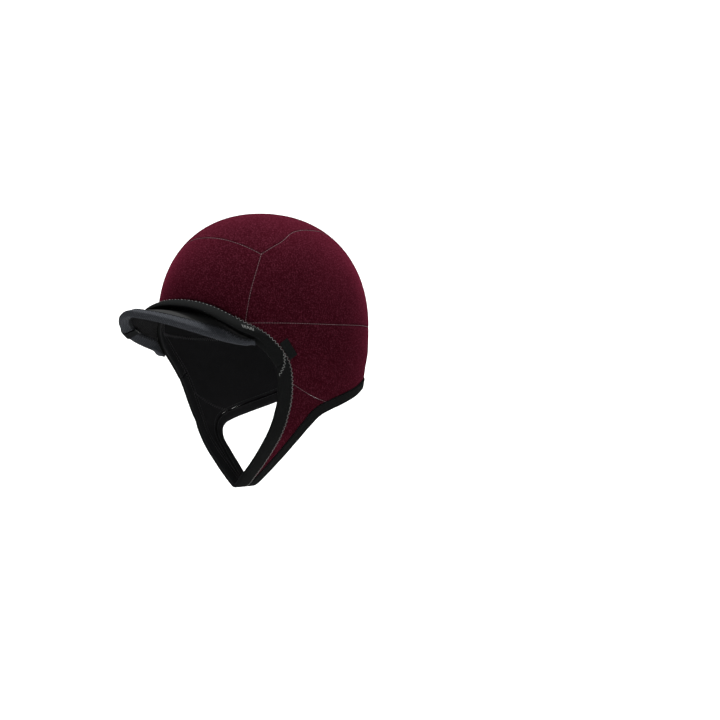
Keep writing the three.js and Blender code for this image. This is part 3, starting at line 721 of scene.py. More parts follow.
MAROON = ClothFinish(
    "maroon_brushed_knit", (0.0182, 0.0015, 0.0034), (0.078, 0.015, 0.0265), (0.0075, 0.0005, 0.0012),
    fleck_scale=880.0, bump=1.0, sheen=0.06, sheen_tint=(1.0, 0.11, 0.25), specular=0.0)
BAND_BLACK = ClothFinish(
    "band_jersey", (0.0043, 0.0045, 0.0045), (0.0088, 0.0094, 0.0094), (0.0035, 0.0038, 0.0038),
    fleck_share=0.35, fleck_scale=1500.0, specular=0.01)
LINING_BLACK = ClothFinish(
    "lining_jersey", (0.0118, 0.0118, 0.0126), (0.02, 0.02, 0.0215), (0.0065, 0.0065, 0.007),
    fleck_share=0.4, fleck_scale=1300.0, bump=0.25, specular=0.01)
FOAM_EDGE = ClothFinish(
    "cut_foam_edge", (0.008, 0.007, 0.0075), (0.015, 0.014, 0.015), (0.005, 0.0045, 0.005),
    fleck_scale=2200.0, bump=0.5, specular=0.01)
SLATE_TAPE = ClothFinish(
    "slate_binding_tape", (0.034, 0.036, 0.041), (0.085, 0.088, 0.096), (0.011, 0.012, 0.014),
    fleck_scale=800.0, bump=0.9, specular=0.02, knit_pitch=2.4 * MM)
# Black jersey of the peak, lightened with painted light against the shade that the brow's roll casts on the
# peak's top.
PEAK_BLACK_PAINTED_LIGHT = ClothFinish(
    "peak_face_jersey_painted_light", (0.017, 0.0173, 0.0172), (0.029, 0.0296, 0.0293), (0.011, 0.0112, 0.0111),
    fleck_share=0.4, fleck_scale=1300.0, bump=0.25, specular=0.01)
RIBBED_BLACK = ClothFinish(
    "ribbed_peak_lining", (0.0052, 0.0052, 0.0057), (0.0115, 0.0115, 0.0125), (0.0028, 0.0028, 0.0031),
    fleck_scale=1600.0, bump=0.5, specular=0.02, knit_pitch=0.7 * MM)
WOVEN_BLACK = ClothFinish(
    "black_woven_tape", (0.0062, 0.0066, 0.007), (0.012, 0.013, 0.014), (0.0035, 0.004, 0.004),
    fleck_scale=1500.0, bump=0.5, specular=0.02, knit_pitch=0.6 * MM)
SEAM_THREAD = ClothFinish(
    "rosy_grey_thread", (0.1, 0.058, 0.064), (0.17, 0.11, 0.12), (0.05, 0.025, 0.028),
    bump=0.4, specular=0.05)
GREY_THREAD = ClothFinish(
    "grey_thread", (0.14, 0.145, 0.14), (0.24, 0.245, 0.235), (0.07, 0.071, 0.07),
    bump=0.4, specular=0.05)
# Grey thread as on the outside rows, darkened with painted shade so that it fades into the cap's shaded
# inside.
INNER_THREAD_PAINTED_SHADE = ClothFinish(
    "grey_thread_painted_shade", (0.04, 0.04, 0.042), (0.075, 0.075, 0.078), (0.02, 0.02, 0.021),
    bump=0.4, specular=0.02)
DARK_THREAD = ClothFinish(
    "dark_thread", (0.007, 0.0075, 0.0078), (0.014, 0.015, 0.015), (0.004, 0.0045, 0.0045),
    fleck_scale=2600.0, bump=0.4, specular=0.02)


class Finishes:
    """Every material of the cap, built once on the shared groups."""

    def __init__(self) -> None:
        """Builds the groups and then the materials."""
        shared = heathered_face(), knit_rows()
        self.maroon = MAROON.build(*shared)
        self.band = BAND_BLACK.build(*shared)
        self.lining = LINING_BLACK.build(*shared)
        self.foam = FOAM_EDGE.build(*shared)
        self.tape = SLATE_TAPE.build(*shared)
        self.peak = PEAK_BLACK_PAINTED_LIGHT.build(*shared)
        self.ribbed = RIBBED_BLACK.build(*shared)
        self.woven = WOVEN_BLACK.build(*shared)
        self.seam_thread = SEAM_THREAD.build(*shared)
        self.grey_thread = GREY_THREAD.build(*shared)
        self.inner_thread_painted_shade = INNER_THREAD_PAINTED_SHADE.build(*shared)
        self.dark_thread = DARK_THREAD.build(*shared)


def settled_piece(piece: Object, node: str | None) -> Object:
    """Puts a finished piece on the cap's one body.

    Args:
        piece: the finished mesh.
        node: the CAD node that it stands for, or None.

    Returns:
        The same piece.
    """
    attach(piece, "root")
    if node:
        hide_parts(node)
    LOG.info("%s: %d faces", piece.name, len(piece.data.polygons))
    return piece


@dataclass
class Part:
    """A part of the cap, with the form that it lies on, the seams and the finishes."""

    form: HeadForm
    seams: Seams
    finishes: Finishes


# Panels


@dataclass
class Panel:
    """One cut piece of laminated cloth between four seams."""

    name: str
    top: Path
    bottom: Path
    left: Path
    right: Path
    flat: tuple[float, float]
    flat_area: float
    neighbours: tuple[str, ...]

    STEP = 1.5 * MM
    RIM = (0.0, 0.3 * MM, 0.7 * MM, 1.2 * MM, 1.9 * MM, 2.9 * MM)
    GROOVE_DEPTH = 0.5 * MM
    GROOVE_WIDTH = 0.8 * MM
    LINING_GROOVE = 0.4

    def places(self, length: float) -> Array:
        """Grid places along one side, close together at both rims."""
        rim = np.array(self.RIM) / length
        count = max(3, round(length * (1 - 2 * rim[-1]) / self.STEP))
        middle = np.linspace(rim[-1], 1 - rim[-1], count)
        return np.concatenate([rim[:-1], middle, 1 - rim[:-1][::-1]])

    def grid(self, form: HeadForm) -> Array:
        """The panel's outer face as a grid of points laid over the form."""
        u = self.places(max(self.top.length(), self.bottom.length()))
        v = self.places((self.left.length() + self.right.length()) / 2)
        top, bottom = self.top.at(u)[None], self.bottom.at(u)[None]
        left, right = self.left.at(v)[:, None], self.right.at(v)[:, None]
        u, v = u[None, :, None], v[:, None, None]
        a, b = top[:, :1], top[:, -1:]
        c, d = bottom[:, :1], bottom[:, -1:]
        p = (top * (1 - v) + bottom * v + left * (1 - u) + right * u
             - a * (1 - u) * (1 - v) - b * u * (1 - v) - c * (1 - u) * v - d * u * v)
        p = form.settle(p)
        half = SEAM_GAP / 2
        drawn = p.copy()
        drawn[0] += unit(p[1] - p[0]) * half
        drawn[-1] += unit(p[-2] - p[-1]) * half
        drawn[:, 0] += unit(p[:, 1] - p[:, 0]) * half
        drawn[:, -1] += unit(p[:, -2] - p[:, -1]) * half
        return drawn

    @staticmethod
    def rim_distance(grid: Array) -> Array:
        """Each point's distance along the cloth from the nearest rim."""
        found = []
        for axis in (0, 1):
            step = np.linalg.norm(np.diff(grid, axis=axis), axis=-1)
            start = np.zeros_like(np.take(step, [0], axis=axis))
            along = np.concatenate([start, np.cumsum(step, axis=axis)], axis=axis)
            total = np.take(along, [-1], axis=axis)
            found.append(np.minimum(along, total - along))
        return np.minimum(*found)

    def build(self, form: HeadForm, finishes: Finishes) -> Object:
        """The panel's mesh: outer face, lining and cut rim."""
        grid = self.grid(form)
        normal = form.normal(grid)
        near_rim = np.exp(-((self.rim_distance(grid) / self.GROOVE_WIDTH) ** 2))[..., None]
        groove = self.GROOVE_DEPTH * near_rim
        inner = grid - normal * (CLOTH_WALL - groove * self.LINING_GROOVE)
        return slab_piece(f"{self.name}_cloth", grid - normal * groove, inner,
                          [finishes.maroon, finishes.lining, finishes.foam])


class Shell(Part):
    """The eight panels of the cap."""

    def panels(self) -> list[Panel]:
        """Each panel between its seams, with the size of its cut."""
        s, form = self.seams, self.form
        line = s.lines
        brow = Path(form, s.face_line[:TEMPLE + 1]).whole()
        nape = Path(form, s.neck_line[:REAR + 1]).whole()
        transverse, back = line["transverse"].whole(), line["back"].whole()
        diagonal, crown_side = line["diagonal"], s.joined("top_side", "back_side")
        lower_front = Path(form, s.face_line[TEMPLE:CHEEK + 1])
        hem = Path(form, np.concatenate([diagonal.points, s.neck_line[REAR:JAW][::-1]]))
        strap_face = Path(form, across_middle(s.face_line[CHEEK:][::-1]))
        strap_neck = Path(form, across_middle(s.neck_line[JAW:][::-1]))
        made = [
            Panel("front_panel", transverse, brow, line["front_down"].mirror(), line["front_down"],
                  (0.062, 0.146), 0.0084, ("crown_panel", "face_band_brow")),
            Panel("crown_panel", transverse, back, crown_side.mirror(), crown_side,
                  (0.134, 0.237), 0.0216, ("front_panel", "back_panel")),
            Panel("back_panel", back, nape, line["rear_down"].mirror(), line["rear_down"],
                  (0.048, 0.072), 0.0033, ("crown_panel", "neck_band")),
            Panel("chin_strap_panel", strap_face, strap_neck, diagonal.mirror(), diagonal,
                  (0.042, 0.225), 0.0029, ("face_band_cheeks", "neck_band")),
        ]
        for side in Side:
            turn = (lambda p: p) if side is Side.LEFT else (lambda p: p.mirror())
            end = side.name.lower()
            made.append(Panel(
                f"upper_side_panel_{end}", turn(line["top_side"]), turn(line["horizontal"]),
                turn(line["front_down"]), turn(line["back_side"]), (0.093, 0.183), 0.0128,
                ("crown_panel", f"lower_side_panel_{end}")))
            made.append(Panel(
                f"lower_side_panel_{end}", turn(line["horizontal"]), turn(hem), turn(lower_front),
                turn(line["rear_down"]), (0.072, 0.183), 0.0083, (f"upper_side_panel_{end}", "neck_band")))
        return made

    def build(self) -> None:
        for panel in self.panels():
            piece = settled_piece(panel.build(self.form, self.finishes), panel.name)


# Bands


@dataclass
class Band:
    """A strip of cloth folded over an opening's edge."""

    name: str
    edge: Array
    line: Array
    closed: bool
    flat: tuple[float, float]
    neighbours: tuple[str, ...]
    roll: Profile | None = None

    RING_STEP = 1.3 * MM
    # The slit between the two legs: shares of the width from the seam in, heights and its blunt end
    SLIT = np.array([1.0, 0.93, 0.86, 0.76, 0.68, 0.6, 0.53, 0.5, 0.48, 0.4, 0.24])
    SLIT_TOP = -0.75 * MM
    SLIT_BOTTOM = -1.35 * MM
    SLIT_NOSE = 0.2
    LIP_END = 0.49
    # The inner leg's lower face: share of the width, depth as a share of the cloth
    UNDER = np.array([(1.0, 1.0), (0.75, 1.0), (0.5, 1.0), (0.25, 1.0), (0.12, 0.96), (0.04, 0.86),
                      (0.01, 0.7)])
    # The hollow under the roll, as shares of the width and of the roll's height
    ROLL_WALL = 0.08
    ROLL_HOLLOW = 0.9

    def section(self) -> tuple[Array, Array, Array]:
        """Shares of the width, heights in metres and shares of the roll, once round the section."""
        slit, (under, depth) = self.SLIT, self.UNDER.T
        share, level, roll = (BAND_TOP if self.roll is None else BROW_TOP).T
        height = np.where(level > 0, level * BAND_PROUD, level * CLOTH_WALL / 2)
        hollow = np.interp(slit + self.ROLL_WALL, share, roll) * self.ROLL_HOLLOW * (slit > self.LIP_END)
        shares = np.concatenate([share, slit, [self.SLIT_NOSE], slit[::-1], under])
        heights = np.concatenate([
            height, np.full(len(slit), self.SLIT_TOP), [(self.SLIT_TOP + self.SLIT_BOTTOM) / 2],
            np.full(len(slit), self.SLIT_BOTTOM), -depth * CLOTH_WALL])
        rolls = np.concatenate([roll, hollow, np.zeros(1 + len(slit) + len(under))])
        return shares, heights, rolls

    def rings(self, form: HeadForm) -> Array:
        """The section's points at each step along the band."""
        edge, line = self.paths(form)
        count = round(edge.length() / self.RING_STEP)
        gap = 0.0 if self.closed else SEAM_GAP / 2 / edge.length()
        place = np.linspace(gap, 1 - gap, count + 1)[:-1 if self.closed else None]
        free, seam = edge.at(place)[:, None], line.at(place)[:, None]
        width = np.linalg.norm(seam - free, axis=-1, keepdims=True)
        share, height, roll = (column[None, :, None] for column in self.section())
        p = form.settle(free + (seam - free) * share * (width - SEAM_GAP / 2) / width)
        if self.roll is not None:
            height = height + roll * self.roll(place * (len(self.edge) - 1))[:, None, None]
        return p + form.normal(p) * height

    def paths(self, form: HeadForm) -> tuple[Path, Path]:
        """The band's free edge and the line where the panels begin."""
        if not self.closed:
            return Path(form, self.edge), Path(form, self.line)
        made = []
        for points in (self.edge, self.line):
            path = Path(form, np.concatenate([points, points[:1]]))
            path.line = form.settle(np.concatenate(
                [catmull(points, Path.PER_SPAN, closed=True), points[:1]]))
            made.append(path)
        return made[0], made[1]

    def build(self, form: HeadForm, outside: Material, inside: Material) -> Object:
        """The band's mesh, with the lining's face on its inner leg."""
        rings = self.rings(form)
        around = rings.shape[1]
        faces = ring_faces(len(rings), around, self.closed)
        leg = np.arange(around) >= around - len(self.UNDER)
        count = len(rings) if self.closed else len(rings) - 1
        kind = [*np.tile(leg, count).astype(int), *[0] * (len(faces) - count * around)]
        return mesh_piece(f"{self.name}_strip", rings.reshape(-1, 3), faces, [outside, inside], kind)


def brow_roll(index: Array) -> Array:
    """Height of the brow's roll at each step of the band, full over the forehead."""
    return BROW_ROLL * (1 - smoothstep(np.abs(index - JOINT), TEMPLE - 1, JOINT - 2))


class Bindings(Part):
    """The folded bands round the face opening and the neck."""

    def bands(self) -> list[Band]:
        """Each band between its edges, with the size of its cut."""
        s = self.seams
        brow = (across_middle(s.face_edge[:JOINT + 1]), across_middle(s.face_line[:JOINT + 1]))
        cheeks = (across_middle(s.face_edge[JOINT:][::-1]), across_middle(s.face_line[JOINT:][::-1]))
        neck = (across_middle(s.neck_edge)[:-1], across_middle(s.neck_line)[:-1])
        return [
            Band("face_band_brow", *brow, False, (0.045, 0.235), ("front_panel", "peak_panel"), brow_roll),
            Band("face_band_cheeks", *cheeks, False, (0.024, 0.256),
                 ("chin_strap_panel", "face_band_brow")),
            Band("neck_band", *neck, True, (0.0187, 0.456), ("back_panel", "chin_strap_panel")),
        ]

    def build(self) -> None:
        for band in self.bands():
            piece = settled_piece(band.build(self.form, self.finishes.band, self.finishes.lining),
                                  band.name)


# Peak


@dataclass
class Ribs:
    """Lines across the peak from its root on the brow out to its free edge."""

    foot: Array
    tip: Array
    up: Array
    width: Array
    skew: Array

    def sheet_point(self, inward: Array | float, up: Array | float, bow: float, length: float) -> Array:
        """Points of the peak's sheet.

        Args:
            inward: how far inside the free edge.
            up: how far above the middle of the sheet.
            bow: the arch of the longest line.
            length: the length of that line.

        Returns:
            One point for each line.
        """
        inward = np.broadcast_to(np.asarray(inward, float), self.width.shape)
        share = np.maximum(0, inward / self.width)
        arch = 4 * share * (1 - share) * bow * self.width / length
        outward = unit(self.tip - self.foot)
        return self.tip - outward * inward[:, None] + self.up * (arch + up)[:, None]

    def part(self, places: Array) -> "Ribs":
        """The lines at fractional places."""
        index = np.arange(len(self.width))
        pick = lambda v: np.interp(places, index, v) if v.ndim == 1 else along_line(places, index, v)
        return Ribs(pick(self.foot), pick(self.tip), unit(pick(self.up)), pick(self.width), pick(self.skew))


@dataclass
class Peak(Part):
    """The short arched peak with its binding tape, tag and ribbed lining."""

    length: float = 47 * MM
    wall: float = 2.6 * MM
    root_place: float = 1.5 * MM
    bow: float = 1.5 * MM
    fan_place: float = 0.6
    end_steps: int = 2
    end_taper: float = 0.45
    coarse_steps: int = 28
    fineness: int = 6
    across: int = 30
    tape_width: float = 9 * MM
    tape_thickness: float = 1 * MM
    tape_clearance: float = 0.55 * MM
    tape_share: float = 0.65
    tag_width: float = 10 * MM
    tag_thickness: float = 0.8 * MM
    tag_place: float = 0.285
    tag_overlap: float = 1.5 * MM
    rib_pitch: float = 2.1 * MM
    rib_radius: float = 0.55 * MM
    rib_back: float = 0.4

    ROOT_FINENESS = 12
    EDGE_FINENESS = 60
    TAG_LINES = 13
    # The folded strip's section: places along a leg, its end and the rounding of its fold
    LEG_STATIONS = (0.97, 0.75, 0.5, 0.3)
    LEG_END = 0.15 * MM
    LEG_END_HEIGHT = 0.985
    FOLD_POINTS = 15
    FOLD_BLUNTNESS = 0.9
    FOLD_INSIDE = 0.6
    # The ribbed underside: from inside the tape to the root, and where the ribs are cast from
    LINING_GAP = 0.2 * MM
    LINING_START = 0.9
    LINING_END = 0.99
    LINING_ROWS = 16
    CAST_FROM = -0.2

    def __post_init__(self) -> None:
        """Lays the peak's lines."""
        s, form = self.seams, self.form
        count = TEMPLE + self.end_steps + 1
        share = self.root_place / FACE_BAND_WIDTH
        half = form.settle(s.face_edge[:count] * (1 - share) + s.face_line[:count] * share)
        half = half + form.normal(half) * (BAND_PROUD + SEAM_GAP)
        root = catmull(across_middle(half), self.ROOT_FINENESS)
        across, forward, down = np.array(PEAK_EDGE).T
        edge_half = np.stack([across * form.half_width, -form.forehead - forward * self.length,
                              CLOTH_WALL - down * form.chin_drop], axis=1)
        steps = self.coarse_steps * self.fineness
        tip = evenly(catmull(across_middle(edge_half), self.EDGE_FINENESS), steps)
        fan = lambda p: np.arctan2(p[:, 0], -(p[:, 1] + self.fan_place * form.forehead))
        foot = along_line(fan(tip), fan(root), root)
        index = np.arange(steps + 1)
        before = np.maximum(0, index - self.fineness)
        after = np.minimum(steps, index + self.fineness)
        along = unit(tip[after] - tip[before])
        out = tip - foot
        square = np.cross(out, along)
        skew = np.linalg.norm(square, axis=1) / np.linalg.norm(out, axis=1)
        up, face = unit(square), form.normal(foot)
        foot = foot + face * (self.wall / 2 * np.abs((up * face).sum(1, keepdims=True)))
        from_end = np.minimum(index, steps - index) / self.fineness
        tip = tip + (foot - tip) * (self.end_taper * (1 - smoothstep(from_end, 0.0, 1.0)))[:, None]
        self.ribs = Ribs(foot, tip, up, np.linalg.norm(tip - foot, axis=1), skew)

    def point(self, ribs: Ribs, inward: Array | float, up: Array | float) -> Array:
        """Points of the sheet on the given lines."""
        return ribs.sheet_point(inward, up, self.bow, self.length)

    def panel(self) -> Object:
        """The peak's stiff sheet, with a rounded free edge."""
        shares = np.linspace(1, 0, self.across + 1)
        nose = np.minimum(1, np.sqrt(np.clip(shares * self.length / (self.wall / 2), 0, 1)))
        top = [(share, self.wall / 2 * rise) for share, rise in zip(shares, nose)]
        round_edge = top + [(share, -height) for share, height in top[-2::-1]]
        lines = [self.point(self.ribs, self.ribs.width * share, height) for share, height in round_edge]
        rings = np.stack(lines, axis=1)
        faces = ring_faces(len(rings), rings.shape[1], False)
        return mesh_piece("peak_panel_sheet", rings.reshape(-1, 3), faces, [self.finishes.peak])

    def strip_section(self, clearance: float, thickness: float) -> Array:
        """The folded strip's section: leg share, inward offset and height, once round."""
        half, nose = self.wall / 2 + clearance, clearance + thickness
        outside = half + thickness
        leg = [(1, self.LEG_END, outside * self.LEG_END_HEIGHT)]
        leg += [(share, 0, outside) for share in self.LEG_STATIONS] + [(0, thickness, outside)]
        fold = [(0, -nose * math.sin(turn) ** self.FOLD_BLUNTNESS, outside * math.cos(turn))
                for turn in np.linspace(0, math.pi, self.FOLD_POINTS)[1:-1]]
        under = [(1, 0, -half), (0.5, 0, -half), (0, thickness, -half),
                 (0, -clearance, -half * self.FOLD_INSIDE)]
        below, above = ([(share, inset, -height) for share, inset, height in side[::-1]]
                        for side in (leg, under))
        return np.array([*leg, *fold, *below, *under, *above])

    def leg(self, ribs: Ribs, reach: float) -> Array:
        """How far the folded strip reaches in over the peak on each line."""
        return np.minimum(reach / ribs.skew, ribs.width * self.tape_share)

    def strip(self, name: str, ribs: Ribs, clearance: float, thickness: float, reach: float,
              finish: Material) -> Object:
        """A strip folded round the peak's edge.

        Args:
            name: the piece's name.
            ribs: the peak's lines that it covers.
            clearance: its gap off the sheet.
            thickness: its cloth.
            reach: the length of its legs.
            finish: its material.

        Returns:
            The strip's mesh.
        """
        leg = self.leg(ribs, reach)
        lines = [self.point(ribs, leg * share + (inset if share < 1 else -inset), height)
                 for share, inset, height in self.strip_section(clearance, thickness)]
        rings = np.stack(lines, axis=1)
        faces = ring_faces(len(rings), rings.shape[1], False)
        return mesh_piece(name, rings.reshape(-1, 3), faces, [finish])

    def tag_ribs(self) -> Ribs:
        """The short stretch of the edge that the tag covers, on the wearer's right."""
        steps = self.coarse_steps * self.fineness
        step = np.linalg.norm(self.ribs.tip[1] - self.ribs.tip[0])
        spread = np.linspace(-0.5, 0.5, self.TAG_LINES) * self.tag_width / step
        return self.ribs.part(self.tag_place * steps + spread)

    def lining(self) -> Object:
        """The underside inside the tape, as the sheet that the ribs are cast on."""
        leg = self.leg(self.ribs, self.tape_width)
        inner = np.minimum(leg + self.LINING_GAP, self.ribs.width * self.LINING_START)
        span = self.ribs.width * self.LINING_END - inner
        lines = [self.point(self.ribs, inner + span * share, -self.wall / 2)
                 for share in np.linspace(0, 1, self.LINING_ROWS)]
        grid = np.stack(lines, axis=1)
        return mesh_piece("peak_lining_ribs", grid, grid_faces(grid)[0].tolist(), [self.finishes.ribbed])

    def build(self) -> None:
        """Builds the peak's pieces and puts them on the cap."""
        f = self.finishes
        sheet = settled_piece(self.panel(), "peak_panel")
        tape = self.strip("peak_edge_tape_strip", self.ribs, self.tape_clearance, self.tape_thickness,
                          self.tape_width, f.tape)
        settled_piece(tape, "peak_edge_tape")
        clearance = self.tape_clearance + self.tape_thickness + SEAM_GAP
        tag = self.strip("peak_tag_strip", self.tag_ribs(), clearance, self.tag_thickness,
                         self.tape_width + self.tag_overlap, f.woven)
        settled_piece(tag, "peak_tag")
        ribs = grow(self.lining(), fabric_ribs(), {
            "Pitch": self.rib_pitch, "Rib Radius": self.rib_radius, "Half Width": self.form.half_width,
            "Front": -self.form.forehead - self.length, "Back": -self.form.forehead * self.rib_back,
            "Below": self.CAST_FROM, "Finish": f.ribbed})
        settled_piece(ribs, None)


def grow(carrier: Object, tree: NodeTree, values: dict[str, object]) -> Object:
    """Runs a geometry tree on a carrier and keeps its result as a plain mesh.

    Args:
        carrier: the object that holds the tree's input geometry.
        tree: the geometry tree.
        values: its inputs by name.

    Returns:
        The carrier, now a plain mesh with no modifier.
    """
    modifier = carrier.modifiers.new(tree.name, "NODES")
    modifier.node_group = tree
    for item in tree.interface.items_tree:
        if item.item_type == "SOCKET" and item.in_out == "INPUT" and item.name in values:
            modifier[item.identifier] = values[item.name]
    bpy.context.view_layer.update()
    graph = bpy.context.evaluated_depsgraph_get()
    mesh = bpy.data.meshes.new_from_object(carrier.evaluated_get(graph))
    carrier.modifiers.remove(modifier)
    old, carrier.data = carrier.data, mesh
    bpy.data.meshes.remove(old)
    mesh.name = carrier.name
    mesh.polygons.foreach_set("use_smooth", np.ones(len(mesh.polygons), bool))
    return carrier


RIB_STEP, RIB_SIDES = 0.8 * MM, 6


def fabric_ribs() -> NodeTree:
    """Straight ribs cast up onto a sheet, one pitch apart."""
    tree = Group("fabric_ribs", "GeometryNodeTree", [
        ("Geometry", "Geometry", None), ("Pitch", "Float", 2 * MM),
        ("Rib Radius", "Float", 0.5 * MM), ("Half Width", "Float", 0.08),
        ("Front", "Float", -0.15), ("Back", "Float", -0.04),
        ("Below", "Float", -0.2), ("Finish", "Material", None),
    ], [("Geometry", "Geometry")])
    get = tree.entry
    ends = [tree.xyz(x, get["Front"], get["Below"])
            for x in (tree.math("MULTIPLY", get["Half Width"], -1.0), get["Half Width"])]
    line = tree.out("GeometryNodeCurvePrimitiveLine", {"Start": ends[0], "End": ends[1]})
    fine = tree.out("GeometryNodeResampleCurve", {"Curve": line, "Length": RIB_STEP}, mode="LENGTH")
    count = tree.math("DIVIDE", tree.math("SUBTRACT", get["Back"], get["Front"]), get["Pitch"])
    rows = tree.out("GeometryNodeMeshLine", {"Count": count, "Offset": tree.xyz(y=get["Pitch"])})
    copies = tree.out("GeometryNodeInstanceOnPoints", {"Points": rows, "Instance": fine})
    flat = tree.out("GeometryNodeRealizeInstances", {0: copies})
    cast = tree.add("GeometryNodeRaycast", {
        "Target Geometry": get["Geometry"], "Ray Direction": (0.0, 0.0, 1.0), "Ray Length": 1.0}).outputs
    wires = tree.out("GeometryNodeCurveToMesh", {0: flat})
    keep = tree.out("GeometryNodeStoreNamedAttribute", {
        "Geometry": wires, "Name": "hit", "Value": cast["Is Hit"]}, data_type="BOOLEAN")
    moved = tree.out("GeometryNodeSetPosition", {"Geometry": keep, "Position": cast["Hit Position"]})
    hit = tree.out("GeometryNodeInputNamedAttribute", {"Name": "hit"}, data_type="BOOLEAN")
    missed = tree.out("FunctionNodeBooleanMath", {0: hit}, operation="NOT")
    on_sheet = tree.out("GeometryNodeDeleteGeometry", {"Geometry": moved, "Selection": missed})
    curves = tree.out("GeometryNodeMeshToCurve", {0: on_sheet})
    ring = tree.out("GeometryNodeCurvePrimitiveCircle", {
        "Resolution": RIB_SIDES, "Radius": get["Rib Radius"]})
    cords = tree.out("GeometryNodeCurveToMesh", {0: curves, 1: ring, "Fill Caps": True})
    return tree.finished(cords)


# Stitching

STITCH_SEED = 7
BEAD_SEGMENTS, BEAD_RINGS = 6, 5


def stitch_row() -> NodeTree:
    """Stitches along a line that carries its surface's normal.

    Returns:
        A tree with the inputs Spacing, Stitch Length, Thread Radius, Slant, Uneven and Finish. Every
        other stitch slants the other way, so a slant of 0 is a straight row.
    """
    tree = Group("stitch_row", "GeometryNodeTree", [
        ("Geometry", "Geometry", None), ("Spacing", "Float", 2 * MM),
        ("Stitch Length", "Float", 2 * MM), ("Thread Radius", "Float", 0.2 * MM),
        ("Slant", "Float", 0.0), ("Uneven", "Float", 0.06),
        ("Finish", "Material", None),
    ], [("Geometry", "Geometry")])
    get = tree.entry
    line = tree.out("GeometryNodeMeshToCurve", {0: get["Geometry"]})
    spots = tree.out("GeometryNodeResampleCurve", {
        "Curve": line, "Length": get["Spacing"]}, mode="LENGTH")
    normal = tree.out("GeometryNodeInputNamedAttribute", {"Name": "normal"}, data_type="FLOAT_VECTOR")
    tangent = tree.out("GeometryNodeInputTangent")
    stand = tree.out("FunctionNodeAlignRotationToVector", {"Vector": normal}, axis="Z")
    along = tree.out("FunctionNodeAlignRotationToVector", {
        "Rotation": stand, "Vector": tangent}, axis="X", pivot_axis="Z")
    index = tree.out("GeometryNodeInputIndex")
    turn = tree.math("MULTIPLY_ADD", tree.math("MODULO", index, 2.0), 2.0, -1.0)
    chance = tree.add("FunctionNodeRandomValue", {
        2: -1.0, 3: 1.0, "Seed": STITCH_SEED}, data_type="FLOAT").outputs[1]
    stray = tree.math("MULTIPLY", chance, get["Uneven"])
    angle = tree.math("ADD", tree.math("MULTIPLY", turn, get["Slant"]), stray)
    twist = tree.out("FunctionNodeAxisAngleToRotation", {"Axis": (0.0, 0.0, 1.0), "Angle": angle})
    facing = tree.out("FunctionNodeRotateRotation", {
        "Rotation": along, "Rotate By": twist}, rotation_space="LOCAL")
    bead = tree.out("GeometryNodeMeshUVSphere", {
        "Segments": BEAD_SEGMENTS, "Rings": BEAD_RINGS, "Radius": 1.0})
    half = tree.math("MULTIPLY", get["Stitch Length"], 0.5)
    copies = tree.out("GeometryNodeInstanceOnPoints", {
        "Points": spots, "Instance": bead, "Rotation": facing,
        "Scale": tree.xyz(half, get["Thread Radius"], get["Thread Radius"])})
    return tree.finished(copies)


@dataclass(frozen=True)
class StitchKind:
    """Sizes of one kind of stitching."""

    spacing: float
    length: float
    radius: float
    slant: float = 0.0
    uneven: float = 0.08


SEAM_LINE = StitchKind(2.3 * MM, 2.3 * MM, 0.3 * MM)
FLATLOCK = StitchKind(1.25 * MM, 3.9 * MM, 0.24 * MM, math.radians(62), 0.12)
RUNNING = StitchKind(2.6 * MM, 2.0 * MM, 0.22 * MM)
BAND_ZIGZAG = StitchKind(1.8 * MM, 3.0 * MM, 0.24 * MM, math.radians(52), 0.15)
TAPE_ZIGZAG = StitchKind(1.8 * MM, 3.6 * MM, 0.45 * MM, math.radians(58), 0.15)
JOINT_ZIGZAG = StitchKind(1.4 * MM, 3.0 * MM, 0.26 * MM, math.radians(60), 0.2)
BROW_STITCH = StitchKind(3.5 * MM, 1.7 * MM, 0.28 * MM, math.radians(25), 0.3)
BAR_TACK = StitchKind(1.5 * MM, 4.6 * MM, 0.26 * MM, math.radians(82), 0.15)

# Rows over the brow's roll: first and last step of the band, place across it at both
ROLL_ROWS = (
    ("band_bar_tacks", (TEMPLE - 0.05, TEMPLE + 0.95, 0.72, 0.8), BAR_TACK),
    ("brow_stitches", (0.0, TEMPLE + 0.3, 0.9, 0.96), BROW_STITCH),
    ("band_joint_zigzag", (JOINT - 0.7, JOINT + 1.3, 0.97, 0.1), JOINT_ZIGZAG),
)


@dataclass
class StitchLine:
    """A line for a stitch row, with the normal that the stitches stand on."""

    points: Array
    normal: Array


